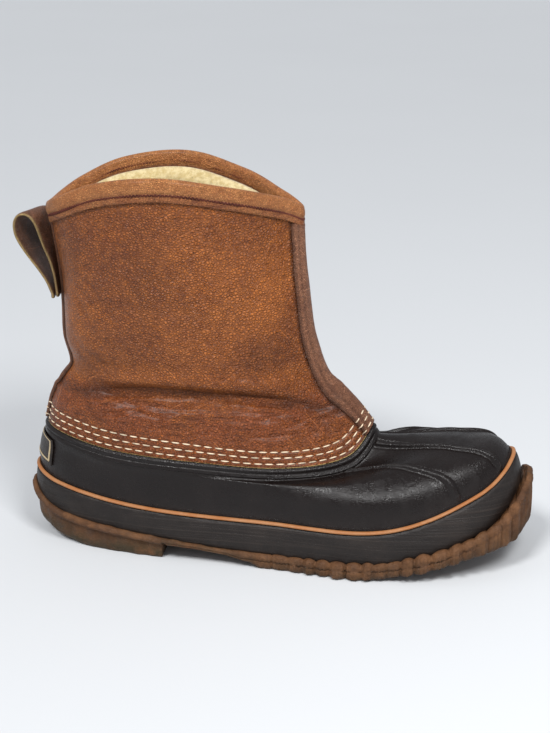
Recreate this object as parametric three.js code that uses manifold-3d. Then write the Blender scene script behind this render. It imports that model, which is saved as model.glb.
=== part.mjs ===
// A pull-on duck boot for the right foot: a moulded rubber bottom with a gum outsole, and a leather
// shaft lapped onto the rubber's rim. Millimetres, +X to the toe, +Y to the inner side, +Z up.
// The origin is on the floor, at the middle of the heel's tread.
import * as THREE from "three";
import { mergeVertices } from "three/addons/utils/BufferGeometryUtils.js";
import Module from "manifold-3d";

const wasm = await Module();
wasm.setup();

// Driving sizes
const LENGTH = 304; // outsole, heel to toe
const BALL_WIDTH = 114; // outsole, at the ball
const RIM_HEIGHT = 70; // rubber bottom, at the back of the heel
const COLLAR_HEIGHT = 226; // collar, at the middle of each side
const SHAFT_WIDTH = 84; // shaft, across the collar
const RUBBER_WALL = 2.6;
const LEATHER_WALL = 2.4;
const FLANGE_WALL = 1.5; // rubber flange behind the stitched seam
const FOXING_WALL = 1.6; // band round the foot of the rubber
const STRIPE_HEIGHT = 2.4;
const STRIPE_WALL = 2;
const BEAD_RISE = 1.4; // bead at the rim's top edge
const RIM_RISE = 0.9; // band under the bead
const RIM_PULL = 12; // how far below the rim its steep side bends the skin
const RIDGE_RISE = 1.3; // moulded ridges on the toe
const RIDGE_WIDTH = 3.2;
const OUTSOLE_REACH = 4.6; // outsole's edge, past the rubber bottom
const TOE_REACH = 4; // added to that at the toe
const HEEL_INSET = 2.4; // heel block, in from the sole's lip
const HEEL_BREAST = 87; // front face of the heel block, from the back of the sole
const ARCH_END = 146; // where the forefoot's tread starts
const LIP_THICKNESS = 4; // sole over the arch
const LOBES = 13; // round each side of the forefoot's edge
const LOBE_RISE = 1.6;
const GROOVE_PITCH = 14.5;
const GROOVE_WIDTH = 3;
const GROOVE_DEPTH = 2.6;
const INSOLE_THICKNESS = 4;
const BINDING_WALL = 1.3; // folded leather at the collar
const BINDING_DEPTH = 10.5;
const FOLD_GAP = 0.4; // inside the fold
const STRIP_WALL = 1.5; // strips over the front and back seams
const STRIP_FOOT_SHARE = 0.62; // how wide a strip is at its foot, against higher up
const LOOP_WIDTH = 22;
const LOOP_HEIGHT = 49;
const LOOP_FOOT = 151; // foot of the loop, above the floor
const PATCH_WIDTH = 38; // plain patch on the heel
const PATCH_WALL = 0.8;
const GAP = 0.3; // between pieces that touch

const HEEL_MIDDLE = 62; // middle of the heel's tread, from the back of the sole

// Sections of the boot's outer skin, from the sole to the collar. Each is a closed loop round the
// foot. back and front are shares of LENGTH. heights, outer and inner run from the back of the loop
// to its front in steps of 30 degrees: heights are shares of base to top, outer and inner are the
// half widths on each side of the foot, as shares of half of width.
const FOOT = { base: 0, top: RIM_HEIGHT, width: BALL_WIDTH };
const SHAFT = { base: RIM_HEIGHT, top: COLLAR_HEIGHT, width: SHAFT_WIDTH };
const SECTIONS = [
  {
    name: "tuck", of: FOOT, back: 0.015, front: 0.955,
    heights: [0.21, 0.205, 0.195, 0.12, 0.135, 0.33, 0.42],
    outer: [0.43, 0.68, 0.76, 0.9, 0.61], inner: [0.43, 0.65, 0.61, 0.78, 0.57],
  },
  {
    name: "lip", of: FOOT, back: 0.009, front: 0.966,
    heights: [0.45, 0.3, 0.218, 0.135, 0.17, 0.41, 0.74],
    outer: [0.44, 0.7, 0.79, 0.935, 0.64], inner: [0.44, 0.67, 0.64, 0.81, 0.6],
  },
  {
    name: "stripe", of: FOOT, back: 0.011, front: 0.954,
    heights: [0.6, 0.535, 0.45, 0.41, 0.43, 0.68, 0.885],
    outer: [0.44, 0.71, 0.8, 0.93, 0.6], inner: [0.44, 0.68, 0.66, 0.8, 0.56],
  },
  {
    name: "shoulder", of: FOOT, back: 0.015, front: 0.935,
    heights: [0.76, 0.7, 0.62, 0.6, 0.66, 0.86, 0.97],
    outer: [0.43, 0.7, 0.8, 0.9, 0.55], inner: [0.43, 0.67, 0.67, 0.78, 0.52],
  },
  {
    name: "dome", of: FOOT, back: 0.021, front: 0.86,
    heights: [0.87, 0.82, 0.74, 0.71, 0.76, 0.93, 1.01],
    outer: [0.415, 0.685, 0.775, 0.8, 0.45], inner: [0.415, 0.66, 0.67, 0.72, 0.43],
  },
  {
    name: "rim", of: FOOT, back: 0.027, front: 0.694,
    heights: [0.93, 0.9, 0.825, 0.795, 0.755, 0.79, 1],
    outer: [0.4, 0.65, 0.745, 0.66, 0.37], inner: [0.4, 0.64, 0.68, 0.62, 0.36],
  },
  {
    name: "seam", of: FOOT, back: 0.031, front: 0.681,
    heights: [1, 0.98, 0.915, 0.88, 0.835, 0.87, 1.08],
    outer: [0.38, 0.63, 0.72, 0.63, 0.34], inner: [0.38, 0.62, 0.66, 0.6, 0.33],
  },
  {
    name: "stitching", of: SHAFT, back: 0.052, front: 0.638,
    heights: [0.135, 0.115, 0.065, 0.03, 0.02, 0.045, 0.14],
    outer: [0.47, 0.8, 0.93, 0.79, 0.4], inner: [0.47, 0.79, 0.87, 0.76, 0.39],
  },
  {
    name: "instep", of: SHAFT, back: 0.066, front: 0.618,
    heights: [0.178, 0.155, 0.115, 0.09, 0.085, 0.105, 0.18],
    outer: [0.45, 0.76, 0.88, 0.74, 0.34], inner: [0.45, 0.75, 0.84, 0.72, 0.34],
  },
  {
    name: "crease", of: SHAFT, back: 0.085, front: 0.598,
    heights: [0.22, 0.2, 0.178, 0.168, 0.168, 0.18, 0.215],
    outer: [0.4, 0.66, 0.76, 0.64, 0.28], inner: [0.4, 0.66, 0.75, 0.63, 0.28],
  },
  {
    name: "ankle", of: SHAFT, back: 0.078, front: 0.567,
    heights: [0.36, 0.35, 0.345, 0.34, 0.34, 0.345, 0.355],
    outer: [0.55, 0.84, 0.91, 0.7, 0.28], inner: [0.55, 0.84, 0.91, 0.7, 0.28],
  },
  {
    name: "shin", of: SHAFT, back: 0.075, front: 0.547,
    heights: [0.61, 0.61, 0.61, 0.61, 0.61, 0.61, 0.61],
    outer: [0.62, 0.9, 0.96, 0.7, 0.24], inner: [0.62, 0.9, 0.96, 0.7, 0.24],
  },
  {
    name: "collar", of: SHAFT, back: 0.059, front: 0.538,
    heights: [0.86, 0.905, 0.975, 1, 0.957, 0.9, 0.865],
    outer: [0.72, 0.95, 1, 0.67, 0.19], inner: [0.72, 0.95, 1, 0.67, 0.19],
  },
];
const COLUMNS = 48; // columns of points round every piece that lies on the skin
const COLUMN_ANGLE = (2 * Math.PI) / COLUMNS;
const LEVEL = Object.fromEntries(SECTIONS.map((section, i) => [section.name, i]));
const STEP_ANGLE = Math.PI / 6;

// The tread's height along the sole: at is a share of LENGTH, height a share of RIM_HEIGHT.
const TREAD = [
  { at: 0, height: 0.13 },
  { at: 0.04, height: 0.09 },
  { at: 0.08, height: 0.035 },
  { at: 0.125, height: 0 },
  { at: 0.67, height: 0 },
  { at: 0.72, height: 0.03 },
  { at: 0.79, height: 0.09 },
  { at: 0.86, height: 0.175 },
  { at: 0.93, height: 0.24 },
  { at: 1, height: 0.34 },
];

// Smooth curves and the skin

// A cubic through b and c, led in from a and out to d.
function glide(a, b, c, d, f) {
  return b + 0.5 * f * (c - a + f * (2 * a - 5 * b + 4 * c - d + f * (3 * (b - c) + d - a)));
}

// A value at any angle round a loop, from the section's column, 0 at the front and pi at the back.
function roundLoop(values, angle) {
  const at = angle / STEP_ANGLE;
  const i = Math.floor(at);
  const value = (k) => values[((k % 12) + 12) % 12];
  return glide(value(i - 1), value(i), value(i + 1), value(i + 2), at - i);
}

// A section's columns laid out round the whole loop, by angle.
const LOOPS = SECTIONS.map(({ of, back, front, heights, outer, inner }) => {
  const half = of.width / 2;
  const [frontToBack, outerSide, innerSide] = [heights, outer, inner].map((c) => [...c].reverse());
  const height = (share) => of.base + share * (of.top - of.base);
  return {
    back: back * LENGTH,
    front: front * LENGTH,
    z: [...frontToBack, ...frontToBack.slice(1, 6).reverse()].map(height),
    y: [0, ...outerSide.map((w) => -w * half), 0, ...[...innerSide].reverse().map((w) => w * half)],
  };
});

function loopPoint(loop, angle) {
  const share = (1 + Math.cos(angle)) / 2;
  return new THREE.Vector3(
    loop.back + (loop.front - loop.back) * share - HEEL_MIDDLE,
    roundLoop(loop.y, angle),
    roundLoop(loop.z, angle),
  );
}

// The slope of the skin at section i, from its neighbours' distances.
function riseAt(points, i) {
  const last = points.length - 1;
  const span = (k) => points[k + 1].distanceTo(points[k]);
  const slope = (k) => points[k + 1].clone().sub(points[k]).divideScalar(span(k));
  if (i === 0) return slope(0);
  if (i === last) return slope(last - 1);
  const [below, above] = [span(i - 1), span(i)];
  return slope(i - 1).multiplyScalar(above).addScaledVector(slope(i), below)
    .divideScalar(below + above);
}

// A point of the skin. Above the collar, level runs on in a straight line, 1 for each millimetre.
function skinPoint(angle, level) {
  const points = LOOPS.map((loop) => loopPoint(loop, angle));
  const last = points.length - 1;
  if (level >= last) return points[last].clone().addScaledVector(riseAt(points, last), level - last);
  const i = Math.max(0, Math.floor(level));
  const f = level - i;
  const [p, q] = [points[i], points[i + 1]];
  const reach = p.distanceTo(q);
  const pull = i === LEVEL.dome ? Math.min(reach, RIM_PULL) : reach;
  const [up, on] = [riseAt(points, i), riseAt(points, i + 1)];
  const [f2, f3] = [f * f, f * f * f];
  return p.clone().multiplyScalar(2 * f3 - 3 * f2 + 1)
    .addScaledVector(up, reach * (f3 - 2 * f2 + f))
    .addScaledVector(q, 3 * f2 - 2 * f3)
    .addScaledVector(on, pull * (f3 - f2));
}

// A point a distance out from the skin, square to it.
function skin(angle, level, out = 0) {
  const step = 0.01;
  const last = LOOPS.length - 1;
  const base = level > last ? last : level;
  const low = Math.min(Math.max(base - step, 0), last - 2 * step);
  const across = skinPoint(angle + step, base).sub(skinPoint(angle - step, base));
  const along = skinPoint(angle, low + 2 * step).sub(skinPoint(angle, low));
  const normal = along.cross(across).normalize();
  return skinPoint(angle, level).addScaledVector(normal, out);
}

// The level that lies a distance along the skin from another, up if positive.
function levelFrom(angle, level, distance) {
  const step = 0.02 * Math.sign(distance);
  let [at, left] = [level, Math.abs(distance)];
  while (at + step >= 0 && at + step <= LOOPS.length - 1) {
    const length = skinPoint(angle, at + step).distanceTo(skinPoint(angle, at));
    if (length >= left) return at + (step * left) / length;
    left -= length;
    at += step;
  }
  return at;
}

// The angle that a distance along the section takes, at a level.
function angleFor(angle, level, distance) {
  const step = 0.02;
  return (distance * 2 * step) /
    skinPoint(angle + step, level).distanceTo(skinPoint(angle - step, level));
}

// Closed meshes

function geometryOf(points, faces) {
  const geometry = new THREE.BufferGeometry();
  const flat = points.flatMap((p) => [p.x, p.y, p.z]);
  geometry.setAttribute("position", new THREE.Float32BufferAttribute(flat, 3));
  geometry.setIndex(faces.flat());
  return geometry;
}

const COLUMN_ANGLES = Array.from({ length: COLUMNS }, (_, c) => c * COLUMN_ANGLE);

const evenly = (count, from, to) =>
  Array.from({ length: count }, (_, i) => from + ((to - from) * i) / (count - 1));

// A band right round the boot: profile is a closed outline of {level, out} steps.
function roundBand(profile) {
  const rows = profile.length;
  const points = [];
  for (let c = 0; c < COLUMNS; c++) {
    const angle = COLUMN_ANGLE * c;
    for (const { level, out } of profile) {
      points.push(skin(angle, typeof level === "function" ? level(angle) : level, out));
    }
  }
  const faces = [];
  for (let c = 0; c < COLUMNS; c++) {
    const next = ((c + 1) % COLUMNS) * rows;
    for (let r = 0; r < rows; r++) {
      const [a, b] = [c * rows + r, c * rows + ((r + 1) % rows)];
      const [d, e] = [next + r, next + ((r + 1) % rows)];
      faces.push([a, b, e], [a, e, d]);
    }
  }
  return geometryOf(points, faces);
}

// A strip that lies on the skin. centre gives its angle and half its width, as an angle, at a level;
// crown says how far out its face stands at each share of the half width.
function strip(levels, centre, crown, foot) {
  const points = [];
  for (const level of levels) {
    const { angle, half } = centre(level);
    for (const { share, out } of crown) points.push(skin(angle + share * half, level, out));
    for (const { share } of [...crown].reverse()) points.push(skin(angle + share * half, level, foot));
  }
  const across = crown.length;
  const ring = 2 * across;
  const faces = [];
  for (let l = 0; l + 1 < levels.length; l++) {
    for (let r = 0; r < ring; r++) {
      const [a, b] = [l * ring + r, l * ring + ((r + 1) % ring)];
      faces.push([a, b + ring, b], [a, a + ring, b + ring]);
    }
  }
  const end = (levels.length - 1) * ring;
  for (let r = 0; r + 1 < across; r++) {
    const [a, b, c, d] = [r, r + 1, ring - 2 - r, ring - 1 - r];
    faces.push([a, b, c], [a, c, d], [end + a, end + c, end + b], [end + a, end + d, end + c]);
  }
  return geometryOf(points, faces);
}

// A solid stacked from closed loops of points, each the same count, even and from the front round.
// Its two ends are closed straight across, from one side of the foot to the other.
function stack(loops) {
  const count = loops[0].length;
  const points = loops.flat();
  const faces = [];
  for (let l = 0; l + 1 < loops.length; l++) {
    for (let c = 0; c < count; c++) {
      const [a, b] = [l * count + c, l * count + ((c + 1) % count)];
      faces.push([a, b + count, b], [a, a + count, b + count]);
    }
  }
  const top = (loops.length - 1) * count;
  for (let c = 0; c < count / 2; c++) {
    const [a, b] = [c, c + 1];
    const [d, e] = [(count - c) % count, count - c - 1];
    if (a !== d) faces.push([a, b, d], [top + a, top + d, top + b]);
    if (b !== e) faces.push([b, e, d], [top + b, top + d, top + e]);
  }
  return geometryOf(points, faces);
}

function solidOf(geometry) {
  const bare = geometry.index ? geometry.toNonIndexed() : geometry.clone();
  const positions = new THREE.BufferGeometry().setAttribute("position", bare.getAttribute("position"));
  const merged = mergeVertices(positions, 1e-4);
  return new wasm.Manifold(new wasm.Mesh({
    numProp: 3,
    vertProperties: merged.attributes.position.array,
    triVerts: new Uint32Array(merged.index.array),
  }));
}

function geometryFrom(solid) {
  const { vertProperties, triVerts } = solid.getMesh();
  const geometry = new THREE.BufferGeometry();
  geometry.setAttribute("position", new THREE.BufferAttribute(vertProperties, 3));
  geometry.setIndex(new THREE.BufferAttribute(triVerts, 1));
  return geometry.toNonIndexed();
}

// A side outline of [x, z] points, from the back of the sole, run right across the boot.
function across(outline, width = 2 * BALL_WIDTH) {
  const shape = new THREE.Shape(outline.map(([x, z]) => new THREE.Vector2(x - HEEL_MIDDLE, z)));
  const geometry = new THREE.ExtrudeGeometry(shape, { depth: width, bevelEnabled: false });
  return geometry.rotateX(Math.PI / 2).translate(0, width / 2, 0);
}

// Outsole

function treadHeight(x) {
  const share = (x + HEEL_MIDDLE) / LENGTH;
  const i = Math.max(1, TREAD.findIndex(({ at }) => at >= Math.min(share, 1)));
  const [low, high] = [TREAD[i - 1], TREAD[i]];
  const f = (Math.max(share, 0) - low.at) / (high.at - low.at);
  return RIM_HEIGHT * (low.height + f * (high.height - low.height));
}

// One lobe of the forefoot's edge: at is a share of its length, rise a share of LOBE_RISE.
const LOBE = [{ at: 0, rise: 0 }, { at: 0.25, rise: 1 }, { at: 0.75, rise: 1 }];
const HEEL_COLUMNS = 15; // along the plain edge of each side, from the arch to the heel

// Columns round one side of the sole, toe to heel, and how far its edge stands out at each.
function soleSide(side) {
  const angles = evenly(241, 0, side * Math.PI);
  const points = angles.map((angle) => skinPoint(angle, LEVEL.lip));
  const run = [0];
  points.slice(1).forEach((point, i) => run.push(run[i] + point.distanceTo(points[i])));
  const angleAt = (length) => {
    const i = Math.max(1, run.findIndex((r) => r >= length));
    const f = (length - run[i - 1]) / (run[i] - run[i - 1]);
    return angles[i - 1] + f * (angles[i] - angles[i - 1]);
  };
  const lobed = run[points.findIndex((point) => point.x < ARCH_END - HEEL_MIDDLE)];
  const lobe = lobed / LOBES;
  const lobes = evenly(LOBES, 0, lobed - lobe).flatMap((start) =>
    LOBE.map(({ at, rise }) => ({ angle: angleAt(start + at * lobe), rise: rise * LOBE_RISE })));
  const plain = evenly(HEEL_COLUMNS, lobed, run[run.length - 1] - 0.01);
  return [...lobes, ...plain.map((length) => ({ angle: angleAt(length), rise: 0 }))];
}

function toeReach(x) {
  const share = (x + HEEL_MIDDLE) / LENGTH;
  return TOE_REACH * Math.min(1, Math.max(0, (share - 0.75) / 0.2));
}

const SOLE_COLUMNS = [...soleSide(1), ...soleSide(-1).slice(1, -1).reverse()];

// The sole's edge as a loop of points: reach is past the rubber's skin, lift gives each height.
function soleLoop(reach, lift) {
  return SOLE_COLUMNS.map(({ angle, rise }) => {
    const point = skinPoint(angle, LEVEL.lip);
    const next = skinPoint(angle + 0.01, LEVEL.lip);
    const side = new THREE.Vector2(point.y - next.y, next.x - point.x).normalize();
    const past = reach(point.x) + toeReach(point.x) + rise;
    const edge = new THREE.Vector3(point.x + side.x * past, point.y + side.y * past, 0);
    return edge.setZ(lift(edge.x, point.z));
  });
}

// The cup in the outsole that the rubber bottom stands in.
function soleCup() {
  const angles = COLUMN_ANGLES;
  const floor = angles.map((a) => skin(a, LEVEL.tuck, GAP).setZ(skinPoint(a, LEVEL.tuck).z - GAP));
  const walls = [0.35, 0.7, 1, 1.4, 1.8].map((level) => angles.map((a) => skin(a, level, GAP)));
  return solidOf(stack([floor, ...walls]));
}

function outsole() {
  const heelShare = (x) => Math.min(1, Math.max(0, (HEEL_BREAST - x - HEEL_MIDDLE) / 4 + 1));
  const inset = (x) => OUTSOLE_REACH - HEEL_INSET * heelShare(x);
  const lipFoot = (x, top) => Math.max(top - LIP_THICKNESS, treadHeight(x) + 2);
  const body = solidOf(stack([
    soleLoop((x) => inset(x) - 1.6, (x) => treadHeight(x)),
    soleLoop(inset, (x) => treadHeight(x) + 1.4),
    soleLoop(inset, (x, top) => lipFoot(x, top) - 0.4),
    soleLoop(() => OUTSOLE_REACH, (x, top) => lipFoot(x, top)),
    soleLoop(() => OUTSOLE_REACH, (x, top) => top - 0.8),
    soleLoop(() => OUTSOLE_REACH - 1, (x, top) => top),
  ]));
  const arch = solidOf(across([
    [HEEL_BREAST, -1],
    [ARCH_END, -1],
    [ARCH_END - 6, RIM_HEIGHT * 0.05],
    [ARCH_END - 20, RIM_HEIGHT * 0.1],
    [ARCH_END - 38, RIM_HEIGHT * 0.13],
    [HEEL_BREAST + 3, RIM_HEIGHT * 0.145],
  ]));
  let sole = body.subtract(soleCup()).subtract(arch);
  for (let x = ARCH_END + GROOVE_PITCH / 2; x < LENGTH - GROOVE_PITCH / 2; x += GROOVE_PITCH) {
    sole = sole.subtract(solidOf(groove(x, GROOVE_WIDTH)));
  }
  for (const share of [0.3, 0.55, 0.8]) sole = sole.subtract(solidOf(groove(HEEL_BREAST * share, 2)));
  return geometryFrom(sole);
}

// A groove across the tread, square to it.
function groove(x, width) {
  const half = width / 2;
  const low = treadHeight(x - half - HEEL_MIDDLE);
  const high = treadHeight(x + half - HEEL_MIDDLE);
  const roof = (low + high) / 2 + GROOVE_DEPTH;
  return across([[x - half, low - 2], [x + half, high - 2], [x + half / 2, roof], [x - half / 2, roof]]);
}

// Rubber bottom and the bands round it

function insole() {
  const inside = -(RUBBER_WALL + 4 * GAP);
  const loop = (lift, out) => COLUMN_ANGLES.map((a) => {
    const edge = skin(a, LEVEL.tuck + 0.2, out);
    return edge.setZ(skinPoint(a, LEVEL.tuck).z + lift);
  });
  return stack([
    loop(0, inside - 1),
    loop(1, inside),
    loop(INSOLE_THICKNESS, inside),
  ]);
}

const LAP = LEATHER_WALL + GAP; // the flange lies behind the leather

function rubberBottom() {
  const { tuck, rim, seam, stitching } = LEVEL;
  const flangeTop = stitching - 0.25;
  const steps = [
    [tuck, 0], [1, 0], [1.5, 0], [2, 0], [3, 0], [3.5, 0], [4, 0], [4.25, 0], [4.5, 0], [4.75, 0],
    [rim - 0.02, 0], [rim + 0.08, RIM_RISE], [rim + 0.5, RIM_RISE], [rim + 0.58, BEAD_RISE],
    [seam - 0.02, BEAD_RISE], [seam - 0.01, -LAP], [flangeTop, -LAP],
    [flangeTop, -LAP - FLANGE_WALL], [rim + 0.4, -LAP - FLANGE_WALL],
    [4.75, -RUBBER_WALL], [4.5, -RUBBER_WALL], [4, -RUBBER_WALL],
    [3, -RUBBER_WALL], [2, -RUBBER_WALL], [1, -RUBBER_WALL], [tuck, -RUBBER_WALL],
  ];
  const shell = solidOf(roundBand(steps.map(([level, out]) => ({ level, out }))));
  return geometryFrom(toeRidges().reduce((all, ridge) => all.add(solidOf(ridge)), shell));
}

// Four ridges fan out over the toe from the rim to the stripe. top and foot are angles in degrees.
const RIDGES = [
  { top: 32, foot: 37 },
  { top: 10, foot: 16 },
  { top: -10, foot: -16 },
  { top: -32, foot: -37 },
];

function toeRidges() {
  const levels = [2.2, 3, 3.5, 4, 4.25, 4.5, 4.75, 5.04];
  return RIDGES.map(({ top, foot }) => {
    const centre = (level) => {
      const share = (level - LEVEL.stripe) / (LEVEL.rim - LEVEL.stripe);
      const angle = THREE.MathUtils.degToRad(foot + (top - foot) * share);
      return { angle, half: angleFor(angle, level, RIDGE_WIDTH / 2) };
    };
    const crown = [
      { share: -1, out: -0.6 }, { share: -0.4, out: RIDGE_RISE },
      { share: 0.4, out: RIDGE_RISE }, { share: 1, out: -0.6 },
    ];
    return strip(levels, centre, crown, -RUBBER_WALL * 0.6);
  });
}

function foxing() {
  const top = (angle) => levelFrom(angle, LEVEL.stripe, -STRIPE_HEIGHT / 2 - GAP);
  const face = GAP + FOXING_WALL;
  const band = solidOf(roundBand([
    { level: LEVEL.lip - 0.3, out: face }, { level: 1.5, out: face + 0.2 }, { level: top, out: face },
    { level: top, out: GAP }, { level: 1.5, out: GAP },
    { level: LEVEL.lip, out: GAP }, { level: LEVEL.lip - 0.3, out: GAP },
  ]));
  const edge = () => OUTSOLE_REACH - 1;
  const under = stack([
    soleLoop(edge, () => -RIM_HEIGHT),
    soleLoop(edge, (x, rise) => rise + GAP),
  ]);
  return geometryFrom(band.subtract(solidOf(under)));
}

function stripe() {
  const edge = (side) => (angle) => levelFrom(angle, LEVEL.stripe, (side * STRIPE_HEIGHT) / 2);
  const face = GAP + STRIPE_WALL;
  return roundBand([
    { level: edge(-1), out: face }, { level: LEVEL.stripe, out: face }, { level: edge(1), out: face - 0.5 },
    { level: edge(1), out: GAP }, { level: LEVEL.stripe, out: GAP }, { level: edge(-1), out: GAP },
  ]);
}

// A plain patch on the back of the heel, between the rim and the stripe.
function heelPatch() {
  const levels = evenly(5, LEVEL.shoulder - 0.35, LEVEL.rim - 0.35);
  const centre = (level) => ({
    angle: Math.PI, half: angleFor(Math.PI, level, PATCH_WIDTH / 2),
  });
  const crown = evenly(9, -1, 1).map((share) => ({ share, out: GAP + PATCH_WALL }));
  return strip(levels, centre, crown, GAP);
}

// Leather shaft

// Rows of the shaft, as levels above the seam with the rubber.
const SHAFT_ROWS = [0.02, 0.5, 1, 1.5, 2, 2.5, 3, 3.5, 4, 5, 5.75, 6];
const FRONT_STRIP_COLUMNS = 3; // on each side of the front
const BACK_STRIP_COLUMNS = 1;

function upper() {
  const rows = SHAFT_ROWS.map((row) => Math.min(LEVEL.seam + row, LEVEL.collar));
  const outside = rows.map((level) => ({ level, out: 0 }));
  const inside = rows.filter((level, i) => i % 2 === 0 || i === 1 || i > 9).reverse()
    .map((level) => ({ level, out: -LEATHER_WALL }));
  return roundBand([...outside, ...inside]);
}

// Leather folded over the collar's edge, down both faces.
function collarBinding() {
  const { collar } = LEVEL;
  const foot = (angle) => levelFrom(angle, collar, -BINDING_DEPTH);
  const shoulder = collar - 0.03;
  const [outside, inside] = [FOLD_GAP, -LEATHER_WALL - FOLD_GAP];
  const [face, back] = [outside + BINDING_WALL, inside - BINDING_WALL];
  const middle = -LEATHER_WALL / 2;
  return roundBand([
    { level: foot, out: face }, { level: shoulder, out: face },
    { level: collar + BINDING_WALL, out: face - 0.6 },
    { level: collar + BINDING_WALL + FOLD_GAP, out: middle },
    { level: collar + BINDING_WALL, out: back + 0.6 },
    { level: shoulder, out: back }, { level: foot, out: back },
    { level: foot, out: inside }, { level: collar + FOLD_GAP, out: inside },
    { level: collar + FOLD_GAP, out: outside }, { level: foot, out: outside },
  ]);
}

// A strip over the front or back seam, from the binding down to the rubber's bead.
function seamStrip(angle, columns) {
  const top = levelFrom(angle, LEVEL.collar, -BINDING_DEPTH - 2 * GAP);
  const rows = SHAFT_ROWS.map((row) => LEVEL.seam + row).filter((level) => level < top - 0.05);
  const half = (level) => {
    const rise = THREE.MathUtils.smoothstep(level, LEVEL.seam, LEVEL.crease);
    return columns * COLUMN_ANGLE * THREE.MathUtils.lerp(STRIP_FOOT_SHARE, 1, rise);
  };
  const crown = evenly(2 * columns + 1, -1, 1).map((share) => ({
    share, out: GAP + STRIP_WALL * (1 - 0.5 * share * share),
  }));
  return strip([...rows, top], (level) => ({ angle, half: half(level) }), crown, GAP);
}

// The pull loop seen from the side, as shares of LOOP_HEIGHT from its foot: a strap folded in two, with
// its foot against the shaft and its top leaning back.
const LOOP_OUTSIDE = [
  [0, 0], [-0.01, 0.3], [-0.06, 0.6], [-0.12, 0.84], [-0.17, 0.95], [-0.26, 1], [-0.36, 0.97],
  [-0.44, 0.87], [-0.45, 0.72], [-0.36, 0.53], [-0.22, 0.3], [-0.11, 0.08], [-0.1, 0],
];
const LOOP_HOLE = [
  [-0.065, 0.27], [-0.11, 0.58], [-0.165, 0.81], [-0.2, 0.9], [-0.265, 0.945], [-0.34, 0.92],
  [-0.39, 0.85], [-0.4, 0.73], [-0.31, 0.55], [-0.17, 0.31], [-0.1, 0.2],
];

function pullLoop() {
  const seat = Math.min(...LOOP_OUTSIDE.slice(0, 3).map(([x, z]) => {
    const height = LOOP_FOOT + z * LOOP_HEIGHT;
    const level = levelFrom(Math.PI, LEVEL.ankle, height - skinPoint(Math.PI, LEVEL.ankle).z);
    return skin(Math.PI, level, STRIP_WALL + 3 * GAP).x - x * LOOP_HEIGHT;
  }));
  const side = (outline) => outline.map(([x, z]) =>
    new THREE.Vector2(seat + x * LOOP_HEIGHT, LOOP_FOOT + z * LOOP_HEIGHT));
  const shape = new THREE.Shape(side(LOOP_OUTSIDE));
  shape.holes.push(new THREE.Path(side(LOOP_HOLE)));
  const geometry = new THREE.ExtrudeGeometry(shape, { depth: LOOP_WIDTH, bevelEnabled: false });
  return geometry.rotateX(Math.PI / 2).translate(0, LOOP_WIDTH / 2, 0);
}

// Materials and the boot

const finish = (color, roughness) => new THREE.MeshStandardMaterial({ color, roughness, metalness: 0 });
const gum = finish("#7a4a2a", 0.75);
const blackRubber = finish("#2b2523", 0.45);
const tanRubber = finish("#c07a45", 0.55);
const brownLeather = finish("#94552c", 0.5);
const darkLeather = finish("#5a3826", 0.6);
const felt = finish("#c9bb8a", 0.95);

const boot = new THREE.Group();
function place(name, geometry, material) {
  const mesh = new THREE.Mesh(geometry, material);
  mesh.name = name;
  boot.add(mesh);
}

place("outsole", outsole(), gum);
place("insole", insole(), felt);
place("rubber_bottom", rubberBottom(), blackRubber);
place("foxing", foxing(), blackRubber);
place("foxing_stripe", stripe(), tanRubber);
place("heel_patch", heelPatch(), blackRubber);
place("upper", upper(), brownLeather);
place("collar_binding", collarBinding(), brownLeather);
place("front_strip", seamStrip(0, FRONT_STRIP_COLUMNS), darkLeather);
place("back_strip", seamStrip(Math.PI, BACK_STRIP_COLUMNS), darkLeather);
place("pull_loop", pullLoop(), darkLeather);

export default boot;
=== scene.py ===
"""A pull-on duck boot for the right foot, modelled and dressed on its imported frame.

Sizes are in millimetres in the boot's own frame, +X to the toe, +Y to the inner side of the foot and
+Z up, and become metres only when a mesh is made.
"""
import logging
import math
from dataclasses import dataclass, field
from enum import Enum

import bpy
import numpy as np
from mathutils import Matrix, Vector


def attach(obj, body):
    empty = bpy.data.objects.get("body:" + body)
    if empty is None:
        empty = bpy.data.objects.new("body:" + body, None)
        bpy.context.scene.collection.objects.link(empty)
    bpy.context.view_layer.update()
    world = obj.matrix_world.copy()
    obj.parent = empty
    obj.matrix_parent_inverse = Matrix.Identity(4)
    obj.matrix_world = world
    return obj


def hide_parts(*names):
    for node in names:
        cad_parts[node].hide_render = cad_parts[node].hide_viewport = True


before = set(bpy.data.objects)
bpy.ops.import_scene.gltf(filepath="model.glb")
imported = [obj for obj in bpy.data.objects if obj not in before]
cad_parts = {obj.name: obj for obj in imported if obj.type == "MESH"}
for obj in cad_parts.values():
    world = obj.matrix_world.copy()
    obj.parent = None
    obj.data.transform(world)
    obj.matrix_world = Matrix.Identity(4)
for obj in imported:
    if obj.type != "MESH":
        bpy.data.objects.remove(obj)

LOG = logging.getLogger("duck_boot")
Array = np.ndarray

LENGTH = 304.0
HEEL_MIDDLE = 62.0
LEATHER_WALL = 2.4
RUBBER_WALL = 2.6
GAP = 0.3
RIM_PULL = 12.0


class Side(Enum):
    """The two sides of the foot, as the sign of Y."""

    OUTER = -1
    INNER = 1


# ---- The boot's skin --------------------------------------------------------------------------


@dataclass(frozen=True)
class Section:
    """One closed loop of the boot's outer skin, round the foot.

    Attributes:
        base: height that a share of 0 stands for.
        top: height that a share of 1 stands for.
        width: full width that a half width of 1 stands for.
        back: back of the loop, as a share of LENGTH.
        front: front of the loop, as a share of LENGTH.
        heights: heights from back to front in steps of 30 degrees.
        outer: half widths on the outer side.
        inner: half widths on the inner side.
    """

    base: float
    top: float
    width: float
    back: float
    front: float
    heights: tuple[float, ...]
    outer: tuple[float, ...]
    inner: tuple[float, ...]


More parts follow.
